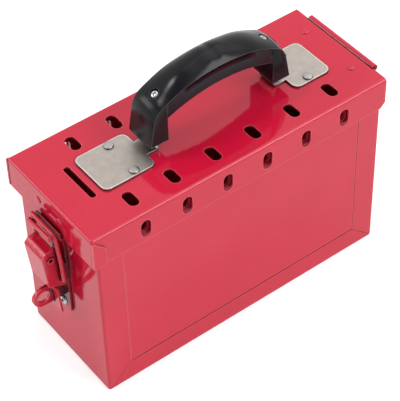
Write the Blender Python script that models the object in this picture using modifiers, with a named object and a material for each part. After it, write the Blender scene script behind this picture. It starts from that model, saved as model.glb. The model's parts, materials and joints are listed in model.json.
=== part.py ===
"""A steel lockout box: a folded body, a slotted lid on a pin hinge, an arched handle on two
bare brackets, and a toggle latch with a padlock eye on the end that opens.

Lengths are in metres, +Z is up. The origin is the centre of the body's underside, the front
faces -Y, the latch is at the -X end and the hinge at the +X end.
"""

import math

import bmesh
import bpy
from mathutils import Matrix, Vector

# Sheet metal
SHEET = 0.0012
FOLD_RADIUS = 0.002
GAP = 0.0003
OVERRUN = 0.004
ROUND_STEPS = 16

# Body
BODY_LENGTH = 0.2294
BODY_WIDTH = 0.0874
BODY_HEIGHT = 0.1487
SIDE_BORDER = 0.0189
BOTTOM_BORDER = 0.0175
PANEL_LAP = 0.012
MITRE_GAP = 0.0004

# Lid
LID_OVERHANG_LATCH = 0.0048
LID_OVERHANG_HINGE = 0.0008
LID_OVERHANG_SIDE = 0.003
LID_FLANGE_DEPTH = 0.0239
LID_CORNER_CHAMFER = 0.0038
TAB_LENGTH = 0.0098
TAB_SINK = 0.0006
KEY_SLOT_LENGTH = 0.033
KEY_SLOT_WIDTH = 0.0044
KEY_SLOT_SETBACK = 0.0237

# Padlock slots, in the lid's top, its long flanges and the panels behind them
SLOT_COUNT = 6
SLOT_PITCH_SHARE = 0.1386
SLOT_LENGTH = 0.0138
SLOT_WIDTH = 0.0075
SLOT_STEPS = 5
TOP_SLOT_OFFSET = 0.0312
FACE_SLOT_DROP = 0.0135

# Handle grip, placed by shares of the body's length; its outline is written in shares of its
# half length and crease height
GRIP_CENTRE_SHARE = 0.027
GRIP_HALF_LENGTH_SHARE = 0.2411
GRIP_LIFT = 0.0093
GRIP_CREASE_HEIGHT = 0.0389
GRIP_HALF_WIDTH = 0.012
GRIP_CROWN = 0.0056
GRIP_CROWN_POWER = 2.2
GRIP_WALL = 0.0026
GRIP_BLOCK_INSET = 0.0002
GRIP_SPAN_STEPS = 3
CREASE_SHARES = (
    (0, 1), (0.253, 0.979), (0.506, 0.91), (0.754, 0.763),
    (0.861, 0.674), (0.92, 0.553), (0.948, 0.424), (1, 0),
)
RIM_SHARES = (
    (0, 0.668), (0.253, 0.645), (0.506, 0.573), (0.754, 0.46),
    (0.781, 0.452), (0.799, 0.416), (0.814, 0.347), (0.85, 0),
)
CAVITY_RIM_SHARES = (
    (0, 0.645), (0.253, 0.622), (0.506, 0.55), (0.754, 0.44),
    (0.8, 0.43), (0.8, 0.32), (0.8, 0.16), (0.8, -0.05),
)
CROWN_RISE_SHARES = (1, 0.93, 0.7, 0.36, 0.27, 0.22, 0.19, 0.15)
CROWN_WIDTH_SHARES = (-1, -0.85, -0.6, -0.3, 0, 0.3, 0.6, 0.85, 1)
SIDE_WIDTH_SHARES = (0.915, 0.915, 0.965, 0.965)
SIDE_DEPTH_SHARES = (0.13, 0.5, 0.6, 1)
FOOT_STATION = 3
SCREW_STATION = 3.05

# Handle screws
SCREW_HEAD_RADIUS = 0.0028
SCREW_HEAD_HEIGHT = 0.0014
SCREW_SHANK_RADIUS = 0.0016
SCREW_RECESS_DEPTH = 0.0018
SCREW_TIP = 0.003
SCREW_CROSS_SHARE = 0.6
SCREW_CROSS_WIDTH = 0.0007
SCREW_CROSS_DEPTH = 0.0008
SCREW_TURN = math.radians(27)

# Handle brackets, whose ends and rivets are placed along the body by shares of its length
BRACKET_SHEET = 0.0013
BRACKET_WIDTH = 0.0358
BRACKET_CORNER = 0.0045
BRACKET_LEFT_SHARES = (-0.3871, -0.2158)
BRACKET_RIGHT_SHARES = (0.2725, 0.4028)
BRACKET_RIVET_SHARES = (-0.2794, 0.33)
BRACKET_RIVET_OFFSET = 0.0138
TONGUE_WIDTH = 0.0146
TONGUE_RISE_SETBACK = 0.009
TONGUE_BEND = 0.003
TONGUE_END = 0.0048
TONGUE_CLEARANCE = 0.0007

# Rivets
DOME_RIVET = {"head": 0.0033, "rise": 0.0012, "shank": 0.0016, "tail": 0.0026, "tail_rise": 0.0008}
FLAT_RIVET = {"head": 0.0026, "rise": 0.0008, "shank": 0.0013, "tail": 0.0021, "tail_rise": 0.0007}
BLIND_RIVET = {"head": 0.0038, "rise": 0.0012, "shank": 0.0022, "tail": 0.0031, "tail_rise": 0.0012}
BLIND_PIT_RADIUS = 0.0018
BLIND_PIT_DEPTH = 0.0008
DOME_STEPS = 4

# Hinge
HINGE_LENGTH = 0.066
HINGE_KNUCKLES = 5
BARREL_RADIUS = 0.0025
PIN_RADIUS = 0.0013
PIN_HEAD_RADIUS = 0.002
PIN_HEAD_HEIGHT = 0.0006
HINGE_SHEET = 0.001
HINGE_AXIS_OUT = 0.0025
HINGE_AXIS_UP = 0.0007
LEAF_INWARD = 0.0202
LEAF_DROP = 0.0205
KNUCKLE_GAP = 0.0005
LEAF_RIVET_Y = 0.0235
LEAF_LID_RIVET_IN = 0.0123
LEAF_BODY_RIVET_DOWN = 0.0125
NOTCH_CLEARANCE = 0.0006
NOTCH_DEPTH = 0.0016

# Latch base. The latch's foot is its lower end, and every latch height is counted up from it.
LATCH_SHEET = 0.0015
LATCH_FOOT_DROP = 0.1017
BASE_HALF_WIDTH = 0.0082
BASE_HEIGHT = 0.0695
BASE_CORNER = 0.003
BASE_RIVET_UPS = (0.0068, 0.0535)
EAR_RADIUS = 0.0034
EAR_SLOPE = math.radians(58)
EAR_STEPS = 8
LEVER_PIN_OUT, LEVER_PIN_UP = 0.0136, 0.0605
LEVER_PIN_RADIUS = 0.002
LEVER_PIN_BORE = 0.0014
LEVER_PIN_HEAD_RADIUS = 0.0026
LEVER_PIN_HEAD_HEIGHT = 0.0005

# Latch lever, whose outline is written from the wall outward and upward from the latch's foot
CHEEK_OUTER = 0.01
LEVER_SHEET = 0.0015
LEVER_TOP_OUT, LEVER_TOP_UP = 0.0197, 0.0645
LEVER_CROWN_OUT, LEVER_CROWN_UP = 0.0165, 0.0682
LEVER_ROOF_OUT, LEVER_ROOF_UP = 0.0103, 0.0687
LEVER_THROAT_OUT, LEVER_THROAT_UP = 0.0091, 0.062
LEVER_HIP_OUT, LEVER_HIP_UP = 0.0038, 0.0435
LEVER_HEEL_UP = 0.0317
LEVER_TOE_OUT, LEVER_TOE_UP = 0.0169, 0.037
LEVER_FOLD = 0.002
LEVER_HIP_BEND = 0.006
TAIL_SHEET = 0.00147
TAIL_JOG_OUT, TAIL_JOG_UP = 0.0096, 0.0275
TAIL_END_OUT, TAIL_END_UP = 0.0078, 0.0056
TAIL_HALF_WIDTH = 0.0078
TAIL_BEND = 0.003
TAIL_ROOT_LAP = 0.0045
TAIL_ROOT_SLANT = 0.00015
TAIL_SLOT_HALF_WIDTH = 0.002
TAIL_SLOT_LOW_UP = 0.0097
TAIL_SLOT_HIGH_UP = 0.0325

# Bail, one wire through the lever, whose two ends pass each other on top
WIRE_RADIUS = 0.0016
WIRE_END_SHARES = ((0.5, 0.87), (0.87, 0.5), (0.97, 0.24))
BAIL_HALF_WIDTH = 0.0129
BAIL_CORNER = 0.0026
BAIL_PIVOT_OUT, BAIL_PIVOT_UP = 0.007, 0.039
BAIL_BELLY_OUT, BAIL_BELLY_UP = 0.008, 0.0585
BAIL_BELLY_BEND = 0.04
BAIL_INNER_OUT, BAIL_INNER_UP = 0.0101, 0.0825
BAIL_INNER_END = 0.0143
BAIL_KINK_OUT, BAIL_KINK_UP = 0.0094, 0.0745
BAIL_KINK_BEND = 0.006
BAIL_OUTER_OUT, BAIL_OUTER_UP = 0.0134, 0.0797
BAIL_OUTER_END = 0.0136
BAIL_OUTER_RISE = 0.0016

# Keeper, whose heights are counted from the lid's top and from the lid's lower edge
KEEPER_SHEET = 0.001
KEEPER_HALF_WIDTH = 0.013
KEEPER_TOP_DROP = 0.0047
KEEPER_TROUGH_DROP = 0.001
KEEPER_BEND = 0.002
KEEPER_RIVET_Y = 0.012
KEEPER_RIVET_DROP = 0.0102
BEAD_RADIUS = 0.0012
BEAD_OUT, BEAD_RISE = 0.0067, 0.0037

# Padlock eye
EYE_SHEET = 0.0024
EYE_RING_OUT, EYE_RING_UP = 0.0168, 0.02
EYE_RING_RADIUS = 0.008
EYE_RING_STEPS = 14
EYE_REACH = 0.0078
EYE_HOLE_RADIUS = 0.0046
EYE_HOLE_STRETCH = 0.0004
EYE_TANG_HALF_HEIGHT = 0.0055

# Worked out from the sizes above
BODY_END_X = BODY_LENGTH / 2
BODY_FACE_Y = BODY_WIDTH / 2
LID_TOP_Z = BODY_HEIGHT + GAP + SHEET
LID_EDGE_Z = LID_TOP_Z - LID_FLANGE_DEPTH
LID_LATCH_X = -BODY_END_X - LID_OVERHANG_LATCH
LID_HINGE_X = BODY_END_X + LID_OVERHANG_HINGE
LID_FACE_Y = BODY_FACE_Y + LID_OVERHANG_SIDE
HINGE_X = BODY_END_X + HINGE_AXIS_OUT
HINGE_Z = BODY_HEIGHT + HINGE_AXIS_UP
WALL_X = -BODY_END_X
LATCH_FOOT_Z = LID_TOP_Z - LATCH_FOOT_DROP
LEVER_PIN_X = WALL_X - LEVER_PIN_OUT
LEVER_PIN_Z = LATCH_FOOT_Z + LEVER_PIN_UP
BAIL_PIVOT_X = WALL_X - BAIL_PIVOT_OUT
BAIL_PIVOT_Z = LATCH_FOOT_Z + BAIL_PIVOT_UP
SLOT_PITCH = BODY_LENGTH * SLOT_PITCH_SHARE
SLOT_XS = [SLOT_PITCH * (i - (SLOT_COUNT - 1) / 2) for i in range(SLOT_COUNT)]
GRIP_CENTRE_X = BODY_LENGTH * GRIP_CENTRE_SHARE
GRIP_HALF_LENGTH = BODY_LENGTH * GRIP_HALF_LENGTH_SHARE
GRIP_FOOT_Z = LID_TOP_Z + GRIP_LIFT
BRACKET_MID_Z = LID_TOP_Z + GAP + BRACKET_SHEET / 2

# Finishes: base colour in linear RGB, roughness, metallic
RED_PAINT = ((0.47, 0.012, 0.025), 0.3, 0.0)
BARE_STEEL = ((0.56, 0.53, 0.5), 0.42, 1.0)
BRIGHT_ZINC = ((0.75, 0.76, 0.77), 0.22, 1.0)
BLACK_PLASTIC = ((0.018, 0.018, 0.02), 0.38, 0.0)

# How the outline planes lie: local X, Y and Z of an outline, as world directions
PLANES = {
    "XY": Matrix(((1, 0, 0), (0, 1, 0), (0, 0, 1))).to_4x4(),
    "XZ": Matrix(((1, 0, 0), (0, 0, -1), (0, 1, 0))).to_4x4(),
    "YZ": Matrix(((0, 0, 1), (1, 0, 0), (0, 1, 0))).to_4x4(),
}

for old in list(bpy.data.objects):
    bpy.data.objects.remove(old)

PARTS = bpy.data.collections.new("lockout_box")
CUTTERS = bpy.data.collections.new("lockout_box_cutters")
bpy.context.scene.collection.children.link(PARTS)
bpy.context.scene.collection.children.link(CUTTERS)


def add_object(name, data, helper=False):
    """Links a part, or a helper solid that only cuts or joins another."""
    made = bpy.data.objects.new(name, data)
    if helper:
        CUTTERS.objects.link(made)
        made.hide_render = True
        made.display_type = "WIRE"
    else:
        PARTS.objects.link(made)
    return made


def paint(obj, finish):
    """Gives the object a material of its own with this finish."""
    colour, roughness, metallic = finish
    material = bpy.data.materials.new(obj.name)
    material.use_nodes = True
    shader = material.node_tree.nodes["Principled BSDF"]
    shader.inputs["Base Color"].default_value = (*colour, 1)
    shader.inputs["Roughness"].default_value = roughness
    shader.inputs["Metallic"].default_value = metallic
    obj.data.materials.clear()
    obj.data.materials.append(material)
    return obj


def smooth(mesh):
    mesh.shade_smooth()
    mesh.set_sharp_from_angle(angle=math.radians(35))


def fillet(points, radius, closed=False, steps=4):
    """The path with each corner rounded by an arc of this radius, or of its own if a list is given."""
    points = [Vector(point) for point in points]
    radii = radius if isinstance(radius, (list, tuple)) else [radius] * len(points)
    rounded = []
    for i, corner in enumerate(points):
        at_end = not closed and i in (0, len(points) - 1)
        if at_end or radii[i] == 0:
            rounded.append(corner)
            continue
        before = (points[i - 1] - corner).normalized()
        after = (points[(i + 1) % len(points)] - corner).normalized()
        opening = before.angle(after)
        centre = corner + (before + after).normalized() * (radii[i] / math.sin(opening / 2))
        tangent = radii[i] / math.tan(opening / 2)
        first = corner + before * tangent - centre
        last = corner + after * tangent - centre
        turn = math.pi - opening
        for step in range(steps + 1):
            along = step / steps
            blend = first * math.sin((1 - along) * turn) + last * math.sin(along * turn)
            rounded.append(centre + blend / math.sin(turn))
    return rounded


def rectangle(low, high, radius=0, steps=4):
    """A closed rounded rectangle between two corners."""
    corners = [low, (high[0], low[1]), high, (low[0], high[1])]
    return fillet(corners, radius, closed=True, steps=steps)


def slot_outline(centre, width, height, steps=SLOT_STEPS):
    """A slot with half-round ends, upright or lying as its sides say."""
    radius = min(width, height) / 2
    across, up = width / 2 - radius, height / 2 - radius
    points = []
    for quarter, (side, rise) in enumerate(((1, 1), (-1, 1), (-1, -1), (1, -1))):
        for step in range(steps + 1):
            angle = math.pi / 2 * (quarter + step / steps)
            x = centre[0] + side * across + radius * math.cos(angle)
            y = centre[1] + rise * up + radius * math.sin(angle)
            points.append((x, y))
    distinct = [points[0]]
    for point in points[1:]:
        if (Vector(point) - Vector(distinct[-1])).length > radius / steps / steps:
            distinct.append(point)
    if (Vector(distinct[0]) - Vector(distinct[-1])).length < radius / steps / steps:
        distinct.pop()
    return distinct


def circle_outline(centre, radius, steps=ROUND_STEPS):
    angles = [math.tau * step / steps for step in range(steps)]
    return [(centre[0] + radius * math.cos(a), centre[1] + radius * math.sin(a)) for a in angles]


def prism(name, outlines, thickness, plane, offset, helper=False):
    """Flat outlines, the first the outside and the others holes, given a thickness centred on
    the plane that lies at this offset along its normal."""
    curve = bpy.data.curves.new(name, "CURVE")
    curve.dimensions = "2D"
    curve.fill_mode = "BOTH"
    curve.extrude = thickness / 2
    for outline in outlines:
        spline = curve.splines.new("POLY")
        spline.points.add(len(outline) - 1)
        for point, place in zip(spline.points, outline):
            point.co = (place[0], place[1], 0, 1)
        spline.use_cyclic_u = True
    drawn = bpy.data.objects.new(name + "_outline", curve)
    CUTTERS.objects.link(drawn)
    turn = PLANES[plane]
    drawn.matrix_world = Matrix.Translation(turn.col[2].to_3d() * offset) @ turn
    bpy.context.view_layer.update()
    evaluated = drawn.evaluated_get(bpy.context.evaluated_depsgraph_get())
    mesh = bpy.data.meshes.new_from_object(evaluated)
    welded = bmesh.new()
    welded.from_mesh(mesh)
    bmesh.ops.remove_doubles(welded, verts=welded.verts, dist=GAP / 100)
    bmesh.ops.recalc_face_normals(welded, faces=welded.faces)
    welded.to_mesh(mesh)
    welded.free()
    made = add_object(name, mesh, helper)
    made.matrix_world = drawn.matrix_world.copy()
    bpy.data.objects.remove(drawn)
    bpy.data.curves.remove(curve)
    return made


def box(name, low, high, helper=False):
    """A box between two corners, with its origin at its centre."""
    low, high = Vector(low), Vector(high)
    cube = bmesh.new()
    bmesh.ops.create_cube(cube, size=1)
    bmesh.ops.scale(cube, vec=high - low, verts=cube.verts)
    mesh = bpy.data.meshes.new(name)
    cube.to_mesh(mesh)
    cube.free()
    made = add_object(name, mesh, helper)
    made.location = (low + high) / 2
    return made


def folded_tray(name, low, high, open_sides):
    """A box of folded sheet, with its outside at these corners and the named sides left open."""
    low, high = Vector(low), Vector(high)
    tray = bmesh.new()
    bmesh.ops.create_cube(tray, size=1)
    bmesh.ops.scale(tray, vec=high - low, verts=tray.verts)
    open_faces = [f for f in tray.faces for side in open_sides if f.normal.dot(Vector(side)) > 0.5]
    bmesh.ops.delete(tray, geom=open_faces, context="FACES")
    mesh = bpy.data.meshes.new(name)
    tray.to_mesh(mesh)
    tray.free()
    made = add_object(name, mesh)
    made.location = (low + high) / 2
    add_bevel(made, FOLD_RADIUS, 3)
    add_sheet(made, SHEET, -1)
    return made


def add_bevel(obj, width, segments):
    bevel = obj.modifiers.new("round edges", "BEVEL")
    bevel.width = width
    bevel.segments = segments
    bevel.limit_method = "ANGLE"


def add_sheet(obj, thickness, offset):
    sheet = obj.modifiers.new("sheet", "SOLIDIFY")
    sheet.thickness = thickness
    sheet.offset = offset
    sheet.use_even_offset = True


def combine(obj, helper, operation):
    """Cuts a helper solid from the part or joins it to the part, and lets it follow the part."""
    change = obj.modifiers.new(operation.lower(), "BOOLEAN")
    change.operation = operation
    change.solver = "EXACT"
    change.object = helper
    bpy.context.view_layer.update()
    helper.parent = obj
    helper.matrix_parent_inverse = obj.matrix_world.inverted()


def cut(obj, helper):
    combine(obj, helper, "DIFFERENCE")


def join(obj, helper):
    combine(obj, helper, "UNION")


def rod_mesh(name, rods):
    """Separate round rods, each given as its middle, its direction, radius and length."""
    made = bmesh.new()
    for middle, direction, radius, length in rods:
        turn = Vector(direction).to_track_quat("Z", "Y").to_matrix().to_4x4()
        bmesh.ops.create_cone(
            made, cap_ends=True, segments=ROUND_STEPS, radius1=radius, radius2=radius,
            depth=length, matrix=Matrix.Translation(middle) @ turn,
        )
    mesh = bpy.data.meshes.new(name)
    made.to_mesh(mesh)
    made.free()
    smooth(mesh)
    return mesh


def drill(obj, name, centres, direction, radius, length):
    """Round holes along one direction."""
    rods = [(centre, direction, radius, length) for centre in centres]
    cut(obj, add_object(name, rod_mesh(name, rods), helper=True))


def turned(name, profile, place, direction, hollow=False):
    """A profile of (radius, height) pairs, from its top down, turned about its own Z. A hollow
    profile goes on from its last pair to its first."""
    line = bmesh.new()
    points = [line.verts.new((radius, 0, height)) for radius, height in profile]
    for first, second in zip(points, points[1:]):
        line.edges.new((first, second))
    if hollow:
        line.edges.new((points[-1], points[0]))
    mesh = bpy.data.meshes.new(name)
    line.to_mesh(mesh)
    line.free()
    made = add_object(name, mesh)
    made.location = place
    made.rotation_mode = "QUATERNION"
    made.rotation_quaternion = Vector(direction).to_track_quat("Z", "Y")
    screw = made.modifiers.new("turn", "SCREW")
    screw.steps = ROUND_STEPS
    screw.render_steps = ROUND_STEPS
    screw.use_merge_vertices = True
    screw.merge_threshold = GAP / 100
    screw.use_smooth_shade = True
    return made


def dome_profile(radius, rise, steps=DOME_STEPS):
    """The arc from the top of a low dome out to its edge."""
    ball = (radius * radius + rise * rise) / (2 * rise)
    half_angle = math.asin(radius / ball)
    points = []
    for step in range(steps + 1):
        angle = half_angle * step / steps
        points.append((ball * math.sin(angle), ball * math.cos(angle) - ball + rise))
    return points


def rivet(name, sizes, place, direction, stack, finish, blind=False):
    """A rivet whose head sits just off the surface at place, through a stack of this thickness."""
    head = dome_profile(sizes["head"], sizes["rise"])
    if blind:
        rim = [point for point in head if point[0] > BLIND_PIT_RADIUS]
        floor = sizes["rise"] - BLIND_PIT_DEPTH
        head = [(0, floor), (BLIND_PIT_RADIUS, floor), (BLIND_PIT_RADIUS, sizes["rise"]), *rim]
    depth = stack + 2 * GAP
    body = [
        (sizes["shank"], 0),
        (sizes["shank"], -depth),
        (sizes["tail"], -depth),
        (sizes["tail"], -depth - sizes["tail_rise"] / 2),
        (sizes["shank"], -depth - sizes["tail_rise"]),
        (0, -depth - sizes["tail_rise"]),
    ]
    seat = Vector(place) + Vector(direction) * GAP
    return paint(turned(name, head + body, seat, direction), finish)


def rivet_hole(sizes):
    return sizes["shank"] + GAP


def wire_end(tip, inner, radius):
    """The rounded end of a wire, outward from its last full point, as places and thicknesses."""
    outward = (tip - inner).normalized() * radius
    return [(tip + outward * along, thickness) for along, thickness in WIRE_END_SHARES]


def wire(name, points, radius):
    """A round wire along a smooth run of points, with rounded ends beyond the first and last."""
    run = [*reversed(wire_end(points[0], points[1], radius))]
    run += [(place, 1) for place in points]
    run += wire_end(points[-1], points[-2], radius)
    curve = bpy.data.curves.new(name, "CURVE")
    curve.dimensions = "3D"
    curve.bevel_depth = radius
    curve.bevel_resolution = 3
    curve.use_fill_caps = True
    spline = curve.splines.new("POLY")
    spline.points.add(len(run) - 1)
    for point, (place, thickness) in zip(spline.points, run):
        point.co = (*place, 1)
        point.radius = thickness
    spline.use_smooth = True
    return add_object(name, curve)


def bent_strip(name, path, half_width, thickness, helper=False):
    """Sheet of this thickness centred on a path of (x, z) points and running across in Y."""
    strip = bmesh.new()
    rows = [[strip.verts.new((x, y, z)) for y in (-half_width, half_width)] for x, z in path]
    for first, second in zip(rows, rows[1:]):
        strip.faces.new((first[0], first[1], second[1], second[0]))
    mesh = bpy.data.meshes.new(name)
    strip.to_mesh(mesh)
    strip.free()
    made = add_object(name, mesh, helper)
    add_sheet(made, thickness, 0)
    return made


def make_body_shell():
    """Two ends and the bottom in one folded sheet, with borders turned onto front and back."""
    shell = folded_tray(
        "body_shell",
        (-BODY_END_X, -BODY_FACE_Y, 0),
        (BODY_END_X, BODY_FACE_Y, BODY_HEIGHT),
        [(0, 0, 1)],
    )
    window_x = BODY_END_X - SIDE_BORDER
    across = BODY_FACE_Y + OVERRUN
    cut(shell, box(
        "window_cutter",
        (-window_x, -across, BOTTOM_BORDER),
        (window_x, across, BODY_HEIGHT + OVERRUN),
        helper=True,
    ))
    for side in (-1, 1):
        inner = Vector((side * window_x, BOTTOM_BORDER))
        outer = Vector((side * (BODY_END_X - FOLD_RADIUS), FOLD_RADIUS))
        along = (outer - inner).normalized()
        sideways = Vector((-along.y, along.x)) * MITRE_GAP / 2
        start = inner - along * FOLD_RADIUS
        slit = [start - sideways, outer - sideways, outer + sideways, start + sideways]
        cut(shell, prism("mitre_cutter", [slit], 2 * across, "XZ", 0, helper=True))
    cut(shell, box(
        "hinge_notch_cutter",
        (BODY_END_X - SHEET - OVERRUN, -HINGE_LENGTH / 2 - NOTCH_CLEARANCE, BODY_HEIGHT - NOTCH_DEPTH),
        (BODY_END_X + OVERRUN, HINGE_LENGTH / 2 + NOTCH_CLEARANCE, BODY_HEIGHT + OVERRUN),
        helper=True,
    ))
    drill(shell, "hinge_rivet_drill", BODY_LEAF_RIVETS, (1, 0, 0), rivet_hole(FLAT_RIVET), 2 * OVERRUN)
    drill(shell, "base_rivet_drill", BASE_RIVETS, (1, 0, 0), rivet_hole(BLIND_RIVET), 2 * OVERRUN)
    return paint(shell, RED_PAINT)


def make_panel(name, side):
    """A slotted sheet that closes the front or the back from behind the borders."""
    reach = BODY_END_X - SIDE_BORDER + PANEL_LAP
    low = (-reach, BOTTOM_BORDER - PANEL_LAP)
    outlines = [rectangle(low, (reach, BODY_HEIGHT))]
    for x in SLOT_XS:
        outlines.append(slot_outline((x, LID_TOP_Z - FACE_SLOT_DROP), SLOT_WIDTH, SLOT_LENGTH))
    middle = BODY_FACE_Y - SHEET - GAP - SHEET / 2
    return paint(prism(name, outlines, SHEET, "XZ", -side * middle), RED_PAINT)


def many_prisms(name, outlines, thickness, plane, offset):
    """Separate prisms in one helper solid."""
    solid = bmesh.new()
    for outline in outlines:
        made = prism(name, [outline], thickness, plane, offset, helper=True)
        made.data.transform(made.matrix_world)
        solid.from_mesh(made.data)
        bpy.data.objects.remove(made)
    mesh = bpy.data.meshes.new(name)
    solid.to_mesh(mesh)
    solid.free()
    return add_object(name, mesh, helper=True)


def make_lid():
    """A tray with flanges at the front, the back and the latch end, open at the hinge end."""
    lid = folded_tray(
        "lid",
        (LID_LATCH_X, -LID_FACE_Y, LID_EDGE_Z),
        (LID_HINGE_X, LID_FACE_Y, LID_TOP_Z),
        [(0, 0, -1), (1, 0, 0)],
    )
    for side in (-1, 1):
        join(lid, make_corner_tab(side))
    top_slots = [slot_outline((x, side * TOP_SLOT_OFFSET), SLOT_WIDTH, SLOT_LENGTH)
                 for x in SLOT_XS for side in (-1, 1)]
    key_slot = slot_outline((LID_LATCH_X + KEY_SLOT_SETBACK, 0), KEY_SLOT_WIDTH, KEY_SLOT_LENGTH)
    cut(lid, many_prisms("top_slot_cutter", [*top_slots, key_slot], 2 * OVERRUN, "XY", LID_TOP_Z))
    face_slots = [slot_outline((x, LID_TOP_Z - FACE_SLOT_DROP), SLOT_WIDTH, SLOT_LENGTH)
                  for x in SLOT_XS]
    across = 2 * (LID_FACE_Y + OVERRUN)
    cut(lid, many_prisms("face_slot_cutter", face_slots, across, "XZ", 0))
    chamfer = [
        (LID_HINGE_X - LID_CORNER_CHAMFER, LID_EDGE_Z),
        (LID_HINGE_X - LID_CORNER_CHAMFER - OVERRUN, LID_EDGE_Z - OVERRUN),
        (LID_HINGE_X + OVERRUN, LID_EDGE_Z - OVERRUN),
        (LID_HINGE_X + OVERRUN, LID_EDGE_Z + LID_CORNER_CHAMFER + OVERRUN),
    ]
    cut(lid, prism("corner_cutter", [chamfer], across, "XZ", 0, helper=True))
    cut(lid, box(
        "barrel_notch_cutter",
        (HINGE_X - BARREL_RADIUS - GAP, -HINGE_LENGTH / 2 - NOTCH_CLEARANCE, HINGE_Z - OVERRUN),
        (HINGE_X + OVERRUN, HINGE_LENGTH / 2 + NOTCH_CLEARANCE, HINGE_Z + OVERRUN),
        helper=True,
    ))
    drill(lid, "bracket_rivet_drill", BRACKET_RIVETS, (0, 0, 1), rivet_hole(DOME_RIVET), 2 * OVERRUN)
    drill(lid, "leaf_rivet_drill", LID_LEAF_RIVETS, (0, 0, 1), rivet_hole(FLAT_RIVET), 2 * OVERRUN)
    drill(lid, "keeper_rivet_drill", KEEPER_RIVETS, (1, 0, 0), rivet_hole(FLAT_RIVET), 2 * OVERRUN)
    return paint(lid, RED_PAINT)


def make_corner_tab(side):
    """The end flange's tab, wrapped round the corner onto the long flange and cut off at 45 degrees."""
    outline = [
        (LID_LATCH_X, LID_EDGE_Z),
        (LID_LATCH_X + TAB_LENGTH, LID_EDGE_Z),
        (LID_LATCH_X + TAB_LENGTH, LID_TOP_Z - TAB_LENGTH),
        (LID_LATCH_X + FOLD_RADIUS, LID_TOP_Z - FOLD_RADIUS),
        (LID_LATCH_X, LID_TOP_Z - FOLD_RADIUS),
    ]
    middle = LID_FACE_Y + (SHEET - TAB_SINK) / 2
    tab = prism("tab_joiner", [outline], SHEET + TAB_SINK, "XZ", -side * middle, helper=True)
    return tab


def station(shares, at):
    """A point on the smooth curve through the shares, at a place counted in them."""
    first = int(min(at, len(shares) - 1.000001))
    part = at - first
    mirrored = (-shares[1][0], shares[1][1])
    last_pair = (Vector(shares[-2]), Vector(shares[-1]))
    p0 = Vector(shares[first - 1]) if first else Vector(mirrored)
    p1, p2 = Vector(shares[first]), Vector(shares[first + 1])
    beyond = last_pair[1] * 2 - last_pair[0]
    p3 = Vector(shares[first + 2]) if first + 2 < len(shares) else beyond
    linear = (p2 - p0) * part
    square = (p0 * 2 - p1 * 5 + p2 * 4 - p3) * part**2
    cube = (p1 * 3 - p0 - p2 * 3 + p3) * part**3
    return (p1 * 2 + linear + square + cube) / 2


def grip_place(share):
    """A point of the grip's side view, from shares of its half length and crease height."""
    return Vector((share.x * GRIP_HALF_LENGTH, share.y * GRIP_CREASE_HEIGHT))


def crease_frame(at):
    """The crease point at a station, and the direction that points out of the grip there."""
    step = 0.01
    behind = grip_place(station(CREASE_SHARES, max(at - step, 0)))
    ahead = grip_place(station(CREASE_SHARES, min(at + step, len(CREASE_SHARES) - 1)))
    along = (ahead - behind).normalized() if at else Vector((1, 0))
    return grip_place(station(CREASE_SHARES, at)), Vector((-along.y, along.x))


def crown_rise(at):
    pairs = [(share, 0) for share in CROWN_RISE_SHARES]
    return station(pairs, at).x * GRIP_CROWN if at else GRIP_CROWN


def grip_section(at):
    """The closed outer section at a station, as points (x, y, z) from the grip's foot centre."""
    crease, out = crease_frame(at)
    rim = grip_place(station(RIM_SHARES, at))
    rise = crown_rise(at)
    section = []
    for share in CROWN_WIDTH_SHARES:
        place = crease + out * rise * (1 - abs(share) ** GRIP_CROWN_POWER)
        section.append((place.x, share * GRIP_HALF_WIDTH, place.y))
    sides = list(zip(SIDE_WIDTH_SHARES, SIDE_DEPTH_SHARES))
    for width_share, depth_share in sides:
        place = crease.lerp(rim, depth_share)
        section.append((place.x, width_share * GRIP_HALF_WIDTH, place.y))
    for width_share, depth_share in reversed(sides):
        place = crease.lerp(rim, depth_share)
        section.append((place.x, -width_share * GRIP_HALF_WIDTH, place.y))
    return section


def cavity_section(at):
    """The section of the hollow at a station: the roof inside the wall, and open below."""
    crease, out = crease_frame(at)
    roof = crease - out * GRIP_WALL
    rim = grip_place(station(CAVITY_RIM_SHARES, at))
    if at == len(CREASE_SHARES) - 1:
        roof.y = rim.y
    half_width = SIDE_WIDTH_SHARES[0] * GRIP_HALF_WIDTH - GRIP_WALL
    return [
        (roof.x, -half_width, roof.y), (roof.x, half_width, roof.y),
        (rim.x, half_width, rim.y), (rim.x, -half_width, rim.y),
    ]


def mirrored_loft(name, sections, helper):
    """Skin between sections, open at the first, which lies on the mirror plane."""
    skin = bmesh.new()
    rows = [[skin.verts.new(point) for point in section] for section in sections]
    count = len(rows[0])
    for first, second in zip(rows, rows[1:]):
        for i in range(count):
            j = (i + 1) % count
            skin.faces.new((first[i], second[i], second[j], first[j]))
    skin.faces.new(rows[-1])
    bmesh.ops.recalc_face_normals(skin, faces=skin.faces)
    centre = sum((vert.co for vert in skin.verts), Vector()) / len(skin.verts)
    end_cap = skin.faces[:][-1]
    if end_cap.normal.dot(end_cap.calc_center_median() - centre) < 0:
        bmesh.ops.reverse_faces(skin, faces=skin.faces)
    mesh = bpy.data.meshes.new(name)
    skin.to_mesh(mesh)
    skin.free()
    smooth(mesh)
    made = add_object(name, mesh, helper)
    made.location = (GRIP_CENTRE_X, 0, GRIP_FOOT_Z)
    mirror = made.modifiers.new("other half", "MIRROR")
    mirror.use_axis[0] = True
    mirror.merge_threshold = GAP / 100
    return made


def screw_frame(side):
    """Where a handle screw sits on the crown and the way out of the grip, in world places."""
    crease, out = crease_frame(SCREW_STATION)
    top = crease + out * crown_rise(SCREW_STATION)
    place = Vector((GRIP_CENTRE_X + side * top.x, 0, GRIP_FOOT_Z + top.y))
    return place, Vector((side * out.x, 0, out.y))


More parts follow.
